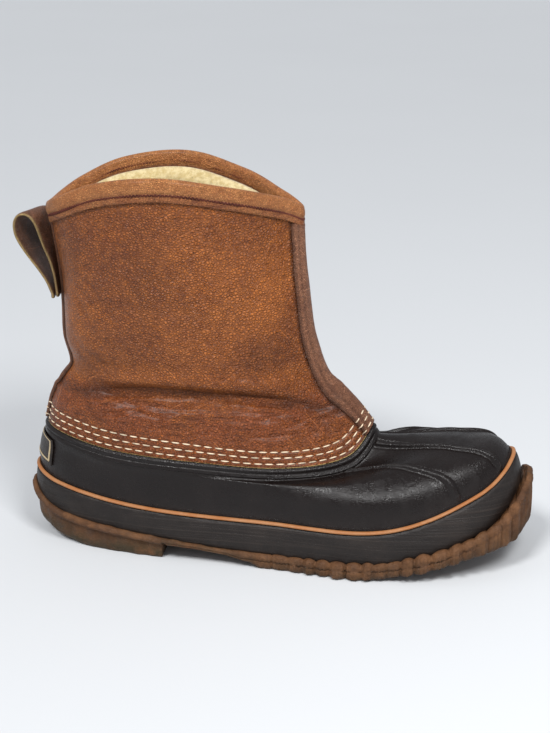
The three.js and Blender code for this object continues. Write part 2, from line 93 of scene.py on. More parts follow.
def foot(back: float, front: float, heights: tuple[float, ...], outer: tuple[float, ...],
         inner: tuple[float, ...]) -> Section:
    """A section of the rubber bottom."""
    return Section(0, 70, 114, back, front, heights, outer, inner)


def shaft(back: float, front: float, heights: tuple[float, ...], outer: tuple[float, ...],
          inner: tuple[float, ...]) -> Section:
    """A section of the leather shaft."""
    return Section(70, 226, 84, back, front, heights, outer, inner)


SECTIONS = (
    foot(0.015, 0.955, (0.21, 0.205, 0.195, 0.12, 0.135, 0.33, 0.42),
         (0.43, 0.68, 0.76, 0.9, 0.61), (0.43, 0.65, 0.61, 0.78, 0.57)),
    foot(0.009, 0.966, (0.45, 0.3, 0.218, 0.135, 0.17, 0.41, 0.74),
         (0.44, 0.7, 0.79, 0.935, 0.64), (0.44, 0.67, 0.64, 0.81, 0.6)),
    foot(0.011, 0.954, (0.6, 0.535, 0.45, 0.41, 0.43, 0.68, 0.885),
         (0.44, 0.71, 0.8, 0.93, 0.6), (0.44, 0.68, 0.66, 0.8, 0.56)),
    foot(0.015, 0.935, (0.76, 0.7, 0.62, 0.6, 0.66, 0.86, 0.97),
         (0.43, 0.7, 0.8, 0.9, 0.55), (0.43, 0.67, 0.67, 0.78, 0.52)),
    foot(0.021, 0.86, (0.87, 0.82, 0.74, 0.71, 0.76, 0.93, 1.01),
         (0.415, 0.685, 0.775, 0.8, 0.45), (0.415, 0.66, 0.67, 0.72, 0.43)),
    foot(0.027, 0.694, (0.93, 0.9, 0.825, 0.795, 0.755, 0.79, 1),
         (0.4, 0.65, 0.745, 0.66, 0.37), (0.4, 0.64, 0.68, 0.62, 0.36)),
    foot(0.031, 0.681, (1, 0.98, 0.915, 0.88, 0.835, 0.87, 1.08),
         (0.38, 0.63, 0.72, 0.63, 0.34), (0.38, 0.62, 0.66, 0.6, 0.33)),
    shaft(0.052, 0.638, (0.135, 0.115, 0.065, 0.03, 0.02, 0.045, 0.14),
          (0.47, 0.8, 0.93, 0.79, 0.4), (0.47, 0.79, 0.87, 0.76, 0.39)),
    shaft(0.066, 0.618, (0.178, 0.155, 0.115, 0.09, 0.085, 0.105, 0.18),
          (0.45, 0.76, 0.88, 0.74, 0.34), (0.45, 0.75, 0.84, 0.72, 0.34)),
    shaft(0.085, 0.598, (0.22, 0.2, 0.178, 0.168, 0.168, 0.18, 0.215),
          (0.4, 0.66, 0.76, 0.64, 0.28), (0.4, 0.66, 0.75, 0.63, 0.28)),
    shaft(0.078, 0.567, (0.36, 0.35, 0.345, 0.34, 0.34, 0.345, 0.355),
          (0.55, 0.84, 0.91, 0.7, 0.28), (0.55, 0.84, 0.91, 0.7, 0.28)),
    shaft(0.075, 0.547, (0.61, 0.61, 0.61, 0.61, 0.61, 0.61, 0.61),
          (0.62, 0.9, 0.96, 0.7, 0.24), (0.62, 0.9, 0.96, 0.7, 0.24)),
    shaft(0.059, 0.538, (0.86, 0.905, 0.975, 1, 0.957, 0.9, 0.865),
          (0.72, 0.95, 1, 0.67, 0.19), (0.72, 0.95, 1, 0.67, 0.19)),
)
TUCK, LIP, STRIPE, SHOULDER, DOME, RIM, SEAM, STITCHING, INSTEP, CREASE, ANKLE, SHIN, COLLAR = range(13)


class Skin:
    """The boot's outer surface, as a function of an angle round the foot and a level up it."""

    def __init__(self, sections: tuple[Section, ...]) -> None:
        """Lays the sections' columns out round whole loops.

        Args:
            sections: the loops, from the sole to the collar.
        """
        self.last = len(sections) - 1
        self.back = np.array([s.back * LENGTH for s in sections])
        self.front = np.array([s.front * LENGTH for s in sections])
        heights, widths = [], []
        for s in sections:
            up = [s.base + h * (s.top - s.base) for h in reversed(s.heights)]
            heights.append(up + up[5:0:-1])
            outer = [-w * s.width / 2 for w in reversed(s.outer)]
            inner = [w * s.width / 2 for w in s.inner]
            widths.append([0.0] + outer + [0.0] + inner)
        self.z = np.array(heights)
        self.y = np.array(widths)

    def _round(self, table: Array, angle: Array) -> Array:
        """Smooth values round every loop, sections by angles."""
        at = angle / (math.pi / 6)
        i = np.floor(at).astype(int)
        f = at - i
        a, b, c, d = (table[:, (i + k) % 12] for k in (-1, 0, 1, 2))
        return b + 0.5 * f * (c - a + f * (2 * a - 5 * b + 4 * c - d + f * (3 * (b - c) + d - a)))

    def point(self, angle: Array, level: Array) -> Array:
        """Points of the skin.

        Args:
            angle: angles from the toe round by the outer side, any shape.
            level: levels of the same shape. Past the last one, 1 is a millimetre.

        Returns:
            The points, with a last axis of 3.
        """
        angle, level = np.broadcast_arrays(np.asarray(angle, float), np.asarray(level, float))
        shape = angle.shape
        angle, level = angle.ravel(), level.ravel()
        share = (1 + np.cos(angle)) / 2
        loops = np.stack([
            self.back[:, None] + (self.front - self.back)[:, None] * share - HEEL_MIDDLE,
            self._round(self.y, angle),
            self._round(self.z, angle),
        ], axis=-1)
        steps = np.diff(loops, axis=0)
        span = np.linalg.norm(steps, axis=-1, keepdims=True)
        slope = steps / span
        rise = np.empty_like(loops)
        rise[0], rise[-1] = slope[0], slope[-1]
        rise[1:-1] = (slope[:-1] * span[1:] + slope[1:] * span[:-1]) / (span[:-1] + span[1:])
        i = np.clip(np.floor(level).astype(int), 0, self.last - 1)
        f = np.clip(level - i, 0, 1)[:, None]
        k = np.arange(angle.size)
        p, q, reach = loops[i, k], loops[i + 1, k], span[i, k]
        pull = np.where(i[:, None] == DOME, np.minimum(reach, RIM_PULL), reach)
        f2, f3 = f * f, f * f * f
        out = (p * (2 * f3 - 3 * f2 + 1) + rise[i, k] * reach * (f3 - 2 * f2 + f)
               + q * (3 * f2 - 2 * f3) + rise[i + 1, k] * pull * (f3 - f2))
        past = np.clip(level - self.last, 0, None)[:, None]
        return (out + rise[-1] * past).reshape(*shape, 3)

    def normal(self, angle: Array, level: Array) -> Array:
        """Unit normals that point out of the boot, at angles and levels of one shape."""
        step = 0.01
        angle, level = np.broadcast_arrays(np.asarray(angle, float), np.asarray(level, float))
        base = np.minimum(level, self.last)
        low = np.clip(base - step, 0, self.last - 2 * step)
        across = self.point(angle + step, base) - self.point(angle - step, base)
        along = self.point(angle, low + 2 * step) - self.point(angle, low)
        n = np.cross(along, across)
        return n / np.linalg.norm(n, axis=-1, keepdims=True)

    def at(self, angle: Array, level: Array, out: Array | float = 0.0) -> Array:
        """Points a distance out from the skin, square to it."""
        lift = np.asarray(out, float)
        return self.point(angle, level) + self.normal(angle, level) * lift[..., None]

    def level_from(self, angle: Array, level: float, distance: float) -> Array:
        """Levels that lie a distance along the skin from another.

        Args:
            angle: one angle for each answer.
            level: the level that the distance starts from.
            distance: millimetres along the skin, up if positive.

        Returns:
            One level for each angle.
        """
        reach = 2.6
        end = min(level + reach, self.last) if distance > 0 else max(level - reach, 0)
        levels = np.linspace(level, end, 140)
        points = self.point(angle[:, None], levels[None, :])
        run = np.cumsum(np.linalg.norm(np.diff(points, axis=1), axis=-1), axis=1)
        run = np.concatenate([np.zeros((len(angle), 1)), run], axis=1)
        return np.array([np.interp(abs(distance), r, levels) for r in run])


SKIN = Skin(SECTIONS)


def turn(count: int, start: float = math.pi) -> Array:
    """Angles right round the boot, from the back."""
    return start + np.arange(count) * 2 * math.pi / count


def smooth(value: Array, low: float, high: float) -> Array:
    """0 below low, 1 above high, and a smooth rise between."""
    t = np.clip((value - low) / (high - low), 0, 1)
    return t * t * (3 - 2 * t)


_LATTICE = np.random.default_rng(11).random((64, 64, 64))


def noise(points: Array, size: float, seed: int = 0) -> Array:
    """Smooth noise from -1 to 1.

    Args:
        points: points with a last axis of 3, in millimetres.
        size: width of one bump, in millimetres.
        seed: shifts the pattern.

    Returns:
        One value for each point.
    """
    q = points / size + np.array([7.3, 3.1, 5.7]) * seed
    i = np.floor(q).astype(int)
    f = q - i
    f = f * f * (3 - 2 * f)
    total = np.zeros(points.shape[:-1])
    for dx in (0, 1):
        for dy in (0, 1):
            for dz in (0, 1):
                w = (np.abs(1 - dx - f[..., 0]) * np.abs(1 - dy - f[..., 1])
                     * np.abs(1 - dz - f[..., 2]))
                total += w * _LATTICE[(i[..., 0] + dx) % 64, (i[..., 1] + dy) % 64,
                                      (i[..., 2] + dz) % 64]
    return total * 2 - 1


# ---- Finishes ---------------------------------------------------------------------------------

Colour = tuple[float, float, float]
Socket = bpy.types.NodeSocket


class Recipe:
    """A material's node tree, built with short calls."""

    def __init__(self, name: str) -> None:
        """Starts an empty material.

        Args:
            name: the material's name.
        """
        self.material = bpy.data.materials.new(name)
        self.material.use_nodes = True
        self.tree = self.material.node_tree
        self.tree.nodes.clear()
        self.place = self.tree.nodes.new("ShaderNodeTexCoord").outputs["Object"]

    def node(self, kind: str, **inputs: object) -> bpy.types.Node:
        """A node with its inputs set or linked."""
        made = self.tree.nodes.new(kind)
        for key, value in inputs.items():
            self.feed(made.inputs[key.replace("_", " ")], value)
        return made

    def feed(self, socket: Socket, value: object) -> None:
        """Links a socket to another, or sets it."""
        if isinstance(value, bpy.types.NodeSocket):
            self.tree.links.new(value, socket)
        elif isinstance(value, tuple) and len(value) == 3 and socket.type == "RGBA":
            socket.default_value = (*value, 1.0)
        else:
            socket.default_value = value

    def mark(self, name: str) -> Socket:
        """A mesh's own mark, from 0 to 1."""
        made = self.tree.nodes.new("ShaderNodeAttribute")
        made.attribute_name = name
        return made.outputs["Fac"]

    def stretched(self, scale: tuple[float, float, float], name: str = "") -> Socket:
        """Coordinates scaled on each axis, of the object or of a mesh's own vector."""
        source = self.place
        if name:
            made = self.tree.nodes.new("ShaderNodeAttribute")
            made.attribute_name = name
            source = made.outputs["Vector"]
        return self.node("ShaderNodeMapping", Vector=source, Scale=scale).outputs[0]

    def noise(self, scale: float, detail: float = 3.0, rough: float = 0.55,
              where: Socket | None = None, bend: float = 0.0) -> Socket:
        """Cloudy noise, 0 to 1, with features of 1 / scale metres."""
        return self.node("ShaderNodeTexNoise", Vector=where or self.place, Scale=scale, Detail=detail,
                         Roughness=rough, Distortion=bend).outputs["Fac"]

    def cells(self, scale: float, edges: bool = True, where: Socket | None = None) -> Socket:
        """Distance to the nearest cell's edge, or to its middle."""
        made = self.node("ShaderNodeTexVoronoi", Vector=where or self.place, Scale=scale)
        made.feature = "DISTANCE_TO_EDGE" if edges else "F1"
        return made.outputs["Distance"]

    def ramp(self, value: Socket, low: float, high: float, start: float = 0.0,
             end: float = 1.0) -> Socket:
        """A smooth step of a value between low and high, from start to end."""
        made = self.node("ShaderNodeMapRange", Value=value)
        made.interpolation_type = "SMOOTHSTEP"
        for key, number in (("From Min", low), ("From Max", high), ("To Min", start), ("To Max", end)):
            made.inputs[key].default_value = number
        return made.outputs["Result"]

    def sum(self, operation: str, a: object, b: object) -> Socket:
        """Two numbers joined by one operation."""
        made = self.tree.nodes.new("ShaderNodeMath")
        made.operation = operation
        self.feed(made.inputs[0], a)
        self.feed(made.inputs[1], b)
        return made.outputs[0]

    def blend(self, a: object, b: object, share: object) -> Socket:
        """A colour between a and b."""
        made = self.tree.nodes.new("ShaderNodeMix")
        made.data_type = "RGBA"
        self.feed(made.inputs[0], share)
        self.feed(made.inputs[6], a)
        self.feed(made.inputs[7], b)
        return made.outputs[2]

    def bump(self, height: Socket, depth: float, strength: float = 1.0,
             under: Socket | None = None) -> Socket:
        """A normal from a height, depth metres deep."""
        made = self.node("ShaderNodeBump", Height=height, Distance=depth, Strength=strength)
        if under is not None:
            self.feed(made.inputs["Normal"], under)
        return made.outputs[0]

    def finish(self, colour: object, roughness: object, normal: Socket | None = None,
               **fixed: float) -> bpy.types.Material:
        """Closes the tree with one surface shader.

        Args:
            colour: colour or socket.
            roughness: number or socket.
            normal: the bumped normal.
            **fixed: other inputs that are the same all over, spaces as underscores.

        Returns:
            The material.
        """
        shader = self.node("ShaderNodeBsdfPrincipled", Base_Color=colour, Roughness=roughness, **fixed)
        if normal is not None:
            self.feed(shader.inputs["Normal"], normal)
        end = self.tree.nodes.new("ShaderNodeOutputMaterial")
        self.tree.links.new(shader.outputs[0], end.inputs["Surface"])
        return self.material


@dataclass(frozen=True)
class OiledLeather:
    """Mottled, pebbled leather with scratches and a raw cut edge.

    Attributes:
        name: the material's name.
        dark: colour of the worn-in patches.
        light: colour of the dry, rubbed patches.
        red: colour of the lower shaft.
        grain: size of a pebble, in metres.
        rough: roughness of the smooth parts.
        coat: weight of the oiled coat.
    """

    name: str
    dark: Colour
    light: Colour
    red: Colour
    grain: float = 0.0018
    rough: float = 0.38
    coat: float = 0.13

    def material(self) -> bpy.types.Material:
        """Builds the material."""
        r = Recipe(self.name)
        patch = r.ramp(r.sum("ADD", r.sum("MULTIPLY", r.noise(15, 5, 0.6), 0.4),
                             r.sum("MULTIPLY", r.noise(190, 5, 0.8), 0.6)), 0.32, 0.68)
        colour = r.blend(self.dark, self.light, patch)
        colour = r.blend(colour, self.red, r.sum("MULTIPLY", r.mark("red"), r.ramp(r.noise(40, 4), 0.25, 0.7)))
        # Painted sheen: lighter where the worn mark is set.
        colour = r.blend(colour, tuple(c * 1.3 for c in self.light), r.sum("MULTIPLY", r.mark("worn"), 0.8))
        fleck = r.ramp(r.noise(620, 3, 0.75), 0.5, 0.72)
        colour = r.blend(colour, tuple(min(1.0, c * 1.55) for c in self.light), r.sum("MULTIPLY", fleck, 0.3))
        cells = r.cells(1 / self.grain, where=r.stretched((1, 1, 1.25)))
        pore = r.ramp(cells, 0.0, 0.22)
        colour = r.blend(tuple(c * 0.45 for c in self.dark), colour, r.sum("MAXIMUM", pore, 0.46))
        wrinkle = r.noise(210, 4, 0.6, where=r.stretched((0.45, 0.45, 2.1)), bend=0.8)
        # Painted shade: the wrinkle hollows on the lower shaft are darkened.
        line = r.sum("MULTIPLY", r.ramp(wrinkle, 0.5, 0.36), r.mark("red"))
        colour = r.blend(colour, tuple(c * 0.42 for c in self.red), r.sum("MULTIPLY", line, 0.7))
        scratch = self._scratches(r)
        colour = r.blend(colour, tuple(min(1.0, c * 1.7 + 0.03) for c in self.light), r.sum("MULTIPLY", scratch, 0.4))
        colour = r.blend(colour, tuple(c * 0.3 for c in self.dark), r.sum("MULTIPLY", r.mark("shade"), 0.75))
        colour = r.blend(colour, (0.55, 0.4, 0.16), r.mark("raw"))
        height = r.sum("ADD", r.sum("MULTIPLY", r.ramp(cells, 0.0, 0.35), 0.55),
                       r.sum("MULTIPLY", r.noise(1500, 2), 0.45))
        crackle = r.ramp(r.cells(0.28 / self.grain, where=self._bent(r)), 0.0, 0.12)
        normal = r.bump(height, 0.0014, 0.9)
        normal = r.bump(crackle, 0.0005, 0.35, normal)
        normal = r.bump(r.sum("MULTIPLY", wrinkle, r.mark("red")), 0.003, 0.7, normal)
        normal = r.bump(r.noise(230, 3, 0.6, where=r.stretched((1, 1, 1.8))), 0.0016, 0.5, normal)
        rough = r.sum("ADD", r.ramp(r.noise(60, 4), 0.3, 0.7, self.rough - 0.07, self.rough + 0.1),
                      r.sum("MULTIPLY", r.mark("raw"), 0.3))
        return r.finish(colour, rough, normal, Specular_IOR_Level=0.32, Coat_Weight=self.coat,
                        Coat_Roughness=0.28)

    def _bent(self, r: Recipe) -> Socket:
        """Object coordinates bent by a slow noise."""
        bend = r.node("ShaderNodeTexNoise", Vector=r.place, Scale=90.0)
        small = r.node("ShaderNodeVectorMath", **{"Vector": bend.outputs["Color"]})
        small.operation = "SCALE"
        small.inputs["Scale"].default_value = 0.006
        total = r.node("ShaderNodeVectorMath", **{"Vector": r.place})
        r.feed(total.inputs[1], small.outputs[0])
        return total.outputs[0]

    def _scratches(self, r: Recipe) -> Socket:
        """Fine pale lines in three directions."""
        total: object = 0.0
        for turn_, size, low in ((0.5, 36, 0.705), (-0.8, 48, 0.7), (1.35, 28, 0.71)):
            spin = r.node("ShaderNodeMapping", Vector=r.place, Rotation=(0.3, turn_, 0.2))
            long = r.node("ShaderNodeMapping", Vector=spin.outputs[0], Scale=(size, size, size * 28))
            total = r.sum("MAXIMUM", total, r.ramp(r.noise(1, 2, 0.5, where=long.outputs[0]), low, low + 0.05))
        return total


@dataclass(frozen=True)
class MouldedRubber:
    """Dark rubber with a dusty bloom and rubbed high spots.

    Attributes:
        name: the material's name.
        base: colour of clean rubber.
        bloom: colour of the dust on it.
        rough: roughness when clean.
        dust: how far dust covers it.
        streaks: how strongly lines run along it.
    """

    name: str
    base: Colour
    bloom: Colour
    rough: float
    dust: float
    streaks: float = 0.0

    def material(self) -> bpy.types.Material:
        """Builds the material."""
        r = Recipe(self.name)
        haze = r.ramp(r.noise(34, 5, 0.65), 0.42, 0.78)
        speck = r.ramp(r.noise(700, 2, 0.7), 0.62, 0.75)
        dust = r.sum("MULTIPLY", r.sum("ADD", haze, r.sum("MULTIPLY", speck, 0.6)), self.dust)
        dust = r.sum("ADD", dust, r.sum("MULTIPLY", r.mark("grime"), r.ramp(r.noise(120, 4, 0.7), 0.3, 0.65)))
        colour = r.blend(self.base, self.bloom, r.sum("MINIMUM", dust, 1.0))
        along = r.noise(1, 3, 0.6, where=r.stretched((9, 900, 1), "strip"))
        if self.streaks:
            colour = r.blend(colour, self.bloom, r.sum("MULTIPLY", r.ramp(along, 0.5, 0.72), self.streaks))
        grain = r.ramp(r.cells(1050), 0.0, 0.35)
        normal = r.bump(r.noise(420, 3, 0.6), 0.0004, 0.4)
        normal = r.bump(grain, 0.00014, 0.5, normal)
        if self.streaks:
            normal = r.bump(along, 0.0006, 0.6, normal)
        scuff = r.ramp(r.noise(90, 5, 0.7), 0.45, 0.7, self.rough - 0.05, self.rough + 0.2)
        return r.finish(colour, scuff, normal, Specular_IOR_Level=0.3)


@dataclass(frozen=True)
class GumRubber:
    """Caramel gum rubber with ground-in dirt.

    Attributes:
        name: the material's name.
        clean: colour of the clean rubber.
        worn: colour where it is rubbed.
        dirt: colour of the dirt.
    """

    name: str
    clean: Colour = (0.075, 0.03, 0.0105)
    worn: Colour = (0.155, 0.066, 0.024)
    dirt: Colour = (0.04, 0.027, 0.0105)

    def material(self) -> bpy.types.Material:
        """Builds the material."""
        r = Recipe(self.name)
        colour = r.blend(self.clean, self.worn, r.ramp(r.noise(60, 5, 0.7), 0.38, 0.68))
        grime = r.sum("MULTIPLY", r.mark("grime"), r.ramp(r.noise(85, 5, 0.75), 0.28, 0.6))
        colour = r.blend(colour, self.dirt, r.sum("MINIMUM", grime, 0.92))
        colour = r.blend(colour, (0.3, 0.2, 0.11), r.sum("MULTIPLY", r.ramp(r.noise(900, 3, 0.8), 0.6, 0.74), 0.22))
        normal = r.bump(r.noise(300, 5, 0.7), 0.0022, 0.8)
        normal = r.bump(r.noise(1500, 3), 0.0003, 0.6, normal)
        return r.finish(colour, r.ramp(r.noise(140, 3), 0.3, 0.7, 0.5, 0.78), normal,
                        Specular_IOR_Level=0.35)


@dataclass(frozen=True)
class Fleece:
    """Cream sheared fleece with grey flecks."""

    name: str = "cream_fleece"
    cream: Colour = (0.6, 0.45, 0.19)
    pale: Colour = (0.8, 0.66, 0.36)
    fleck: Colour = (0.16, 0.14, 0.1)

    def material(self) -> bpy.types.Material:
        """Builds the material."""
        r = Recipe(self.name)
        colour = r.blend(self.cream, self.pale, r.ramp(r.noise(330, 4, 0.7), 0.35, 0.65))
        spots = r.ramp(r.noise(150, 5, 0.8, where=r.stretched((1, 1, 0.55))), 0.6, 0.7)
        colour = r.blend(colour, self.fleck, r.sum("MULTIPLY", spots, 0.8))
        colour = r.blend(colour, (0.2, 0.13, 0.06), r.sum("MULTIPLY", r.mark("shade"), 0.8))
        normal = r.bump(r.noise(900, 4, 0.8), 0.0012, 0.9)
        return r.finish(colour, 0.95, normal, Specular_IOR_Level=0.1, Sheen_Weight=0.35,
                        Sheen_Roughness=0.6)


@dataclass(frozen=True)
class Thread:
    """Twisted thread.

    Attributes:
        name: the material's name.
        colour: colour of the thread.
    """

    name: str
    colour: Colour

    def material(self) -> bpy.types.Material:
        """Builds the material."""
        r = Recipe(self.name)
        soiled = r.blend(self.colour, tuple(c * 0.45 for c in self.colour), r.ramp(r.noise(210, 4), 0.4, 0.75))
        normal = r.bump(r.noise(2400, 2, where=r.stretched((1, 1, 1))), 0.0002, 0.8)
        return r.finish(soiled, 0.7, normal, Specular_IOR_Level=0.25)


@dataclass(frozen=True)
class PlainPaint:
    """A pale, even surface for the floor and the wall behind."""

    name: str
    colour: Colour

    def material(self) -> bpy.types.Material:
        """Builds the material."""
        r = Recipe(self.name)
        return r.finish(r.blend(self.colour, tuple(c * 0.97 for c in self.colour), r.noise(3, 2)), 0.75,
                        Specular_IOR_Level=0.2)


SHAFT_LEATHER = OiledLeather("cognac_leather", (0.15, 0.035, 0.006), (0.43, 0.13, 0.022), (0.25, 0.06, 0.013))
BINDING_LEATHER = OiledLeather("binding_leather", (0.36, 0.115, 0.03), (0.68, 0.29, 0.095), (0.26, 0.06, 0.02),
                               0.0011, 0.5)
STRIP_LEATHER = OiledLeather("strip_leather", (0.22, 0.08, 0.038), (0.44, 0.2, 0.105), (0.3, 0.12, 0.07),
                             0.001, 0.55)
LOOP_LEATHER = OiledLeather("loop_leather", (0.12, 0.05, 0.026), (0.28, 0.115, 0.056), (0.2, 0.09, 0.05),
                            0.001, 0.45)
TOE_RUBBER = MouldedRubber("toe_rubber", (0.006, 0.0036, 0.0032), (0.022, 0.016, 0.014), 0.32, 0.2)
FOXING_RUBBER = MouldedRubber("foxing_rubber", (0.011, 0.008, 0.007), (0.05, 0.037, 0.03), 0.5, 0.28, 0.4)
STRIPE_RUBBER = MouldedRubber("stripe_rubber", (0.33, 0.12, 0.036), (0.4, 0.21, 0.1), 0.5, 0.3, 0.2)
PATCH_RUBBER = MouldedRubber("patch_rubber", (0.01, 0.007, 0.006), (0.04, 0.03, 0.025), 0.4, 0.3)
FRAME_PAINT = MouldedRubber("frame_rubber", (0.5, 0.4, 0.24), (0.3, 0.22, 0.14), 0.5, 0.4)
GUM = GumRubber("gum_rubber")
CREAM_THREAD = Thread("cream_thread", (0.78, 0.62, 0.44))
DARK_THREAD = Thread("dark_thread", (0.1, 0.022, 0.014))


# ---- Meshes -----------------------------------------------------------------------------------

Marks = dict[str, Array]


def make(name: str, points: Array, quads: Array, finish: object, slot: str,
         marks: Marks | None = None) -> bpy.types.Object:
    """A mesh object of the boot, riding on its body.

    Args:
        name: the object's name.
        points: vertices in millimetres.
        quads: rows of four vertex numbers.
        finish: a finish with a material() method.
        slot: not used.
        marks: numbers or vectors for each vertex, by name.

    Returns:
        The object.
    """
    v = points.reshape(-1, 3) * 0.001
    p = v[quads[:, :3]]
    if np.einsum("ij,ij->", p[:, 0], np.cross(p[:, 1], p[:, 2])) < 0:
        quads = quads[:, ::-1]
    mesh = bpy.data.meshes.new(name)
    mesh.vertices.add(len(v))
    mesh.vertices.foreach_set("co", v.ravel().astype(np.float32))
    mesh.loops.add(quads.size)
    mesh.loops.foreach_set("vertex_index", quads.ravel().astype(np.int32))
    mesh.polygons.add(len(quads))
    mesh.polygons.foreach_set("loop_start", np.arange(0, quads.size, 4, dtype=np.int32))
    mesh.polygons.foreach_set("use_smooth", np.ones(len(quads), dtype=bool))
    mesh.update(calc_edges=True)
    mesh.validate()
    for key, values in (marks or {}).items():
        flat = values.reshape(len(v), -1).astype(np.float32)
        kind = "FLOAT" if flat.shape[1] == 1 else "FLOAT_VECTOR"
        held = mesh.attributes.new(key, kind, "POINT")
        held.data.foreach_set("value" if kind == "FLOAT" else "vector", flat.ravel())
    mesh.materials.append(finish.material())
    made = bpy.data.objects.new(name, mesh)
    bpy.context.scene.collection.objects.link(made)
    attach(made, "root")
    return made


def ring_quads(columns: int, rows: int, wrap_rows: bool = True) -> Array:
    """Quads of a grid that closes round its columns, and round its rows too if asked."""
    c = np.arange(columns)[:, None]
    r = np.arange(rows if wrap_rows else rows - 1)[None, :]
    d, s = (c + 1) % columns, (r + 1) % rows
    return np.stack([c * rows + r, d * rows + r, d * rows + s, c * rows + s], axis=-1).reshape(-1, 4)


def sweep_quads(rings: int, around: int) -> Array:
    """Quads of an open tube with its two ends closed by strips across. around is even."""
    a = np.arange(rings - 1)[:, None]
    k = np.arange(around)[None, :]
    m = (k + 1) % around
    tube = np.stack([a * around + k, a * around + m, (a + 1) * around + m, (a + 1) * around + k],
                    axis=-1).reshape(-1, 4)
    i = np.arange(around // 2 - 1)
    cap = np.stack([i, around - 1 - i, around - 2 - i, i + 1], axis=-1)
    far = (rings - 1) * around + cap[:, ::-1]
    return np.concatenate([tube, cap, far])


class Stitches:
    """Many short stitches in one mesh."""

    def __init__(self, radius: float, around: int = 6, rings: int = 5) -> None:
        """Starts with no stitch.

        Args:
            radius: of the thread.
            around: points round the thread.
            rings: points along a stitch.
        """
        self.radius, self.around, self.rings = radius, around, rings
        self.points: list[Array] = []

    def add(self, path: Array, normals: Array) -> None:
        """Adds stitches.

        Args:
            path: stitches by rings by 3, the middle line of each.
            normals: the same shape, out of the surface.
        """
        tangent = np.gradient(path, axis=1)
        tangent /= np.linalg.norm(tangent, axis=-1, keepdims=True)
        side = np.cross(tangent, normals)
        side /= np.linalg.norm(side, axis=-1, keepdims=True)
        t = np.linspace(-1, 1, self.rings)
        girth = self.radius * np.sqrt(np.clip(1 - np.abs(t) ** 3.2, 0.12, 1))
        sink = -1.3 * self.radius * np.abs(t) ** 3
        a = np.arange(self.around) * 2 * math.pi / self.around
        ring = (path + normals * sink[None, :, None])[:, :, None, :] + girth[None, :, None, None] * (
            side[:, :, None, :] * np.cos(a)[None, None, :, None] * 1.15
            + normals[:, :, None, :] * np.sin(a)[None, None, :, None])
        self.points.append(ring)

    def make(self, name: str, finish: object, slot: str) -> bpy.types.Object:
        """Makes the mesh of all the stitches added."""
        rings = np.concatenate(self.points)
        one = sweep_quads(self.rings, self.around)
        size = self.rings * self.around
        quads = (np.arange(len(rings))[:, None, None] * size + one[None]).reshape(-1, 4)
        return make(name, rings, quads, finish, slot)


# ---- The shaft --------------------------------------------------------------------------------


@dataclass(frozen=True)
class Fold:
    """A crease or ridge in the leather, as a soft line on one side of the shaft.

    Attributes:
        path: (x, z) points along it.
        width: how far it spreads to each side.
        depth: how deep it is. Less than 0 is a ridge.
        side: the side of the foot that it is on.
    """

    path: tuple[tuple[float, float], ...]
    width: float
    depth: float
    side: Side = Side.OUTER


FOLDS = (
    Fold(((-27, 95), (-6, 97), (19, 100), (42, 100), (68, 98), (88, 95), (108, 90), (122, 85)), 3.0, 3.4),
    Fold(((-30, 103), (-6, 106), (19, 109), (42, 109), (68, 107), (90, 104), (108, 98)), 5.2, -3.2),
    Fold(((-20, 89), (1, 93), (24, 92), (48, 90)), 2.0, 0.7),
    Fold(((-16, 85), (8, 88), (29, 86), (51, 85), (66, 87)), 2.2, 0.7),
    Fold(((14, 81), (35, 80), (56, 82), (78, 81)), 2.4, 0.6),
    Fold(((75, 84), (95, 88), (115, 83)), 2.2, 0.8),
    Fold(((88, 80), (108, 83), (126, 82)), 1.8, 0.7),
    Fold(((72, 78), (88, 76), (108, 78)), 1.8, 0.6),
    Fold(((60, 91), (80, 90), (98, 85), (112, 79)), 1.7, 0.6),
    Fold(((73, 123), (82, 122), (91, 117), (96, 109)), 2.2, 0.75),
    Fold(((75, 127), (86, 126), (95, 121), (100, 113)), 2.2, 0.75),
    Fold(((79, 132), (90, 131), (99, 126)), 2.0, 0.6),
    Fold(((71, 117), (79, 116), (86, 111), (90, 106)), 2.0, 0.65),
    Fold(((66, 112), (74, 111), (80, 107), (84, 103)), 1.8, 0.5),
    Fold(((80, 138), (92, 139), (101, 135)), 2.2, 0.5),
    Fold(((-24, 166), (-16, 154), (-8, 144)), 2.4, 0.5),
    Fold(((-19, 170), (-11, 157), (0, 143)), 2.4, 0.5),
    Fold(((-27, 160), (-21, 148), (-14, 139)), 2.2, 0.5),
    Fold(((-27, 146), (-20, 136), (-8, 128), (6, 124)), 3.2, 0.6),
    Fold(((-30, 132), (-24, 123), (-14, 116), (0, 112)), 3.4, 0.7),
    Fold(((40, 205), (43, 180), (48, 160)), 9.0, 0.9),
    Fold(((-2, 200), (2, 176), (-2, 150)), 10.0, -0.9),
    Fold(((-27, 95), (-6, 97), (19, 100), (42, 100), (68, 98), (88, 95), (108, 90), (122, 85)), 4.2, 1.7,
         Side.INNER),
    Fold(((-30, 103), (-6, 106), (19, 109), (42, 109), (68, 107), (90, 104), (108, 98)), 6.0, -1.4, Side.INNER),
    Fold(((-14, 87), (10, 90), (38, 88), (58, 88)), 2.4, 0.8, Side.INNER),
    Fold(((20, 82), (46, 81), (70, 83)), 2.4, 0.6, Side.INNER),
    Fold(((70, 84), (92, 87), (116, 82)), 2.2, 0.8, Side.INNER),
    Fold(((70, 125), (84, 124), (95, 116), (100, 107)), 2.4, 0.8, Side.INNER),
    Fold(((68, 117), (78, 116), (86, 111)), 2.2, 0.7, Side.INNER),
    Fold(((76, 134), (88, 133), (99, 127)), 2.2, 0.6, Side.INNER),
    Fold(((-26, 150), (-16, 138), (0, 130)), 3.4, 0.7, Side.INNER),
    Fold(((-28, 134), (-18, 122), (-2, 115)), 3.4, 0.7, Side.INNER),
    Fold(((30, 200), (34, 176), (40, 152)), 10.0, 1.0, Side.INNER),
)


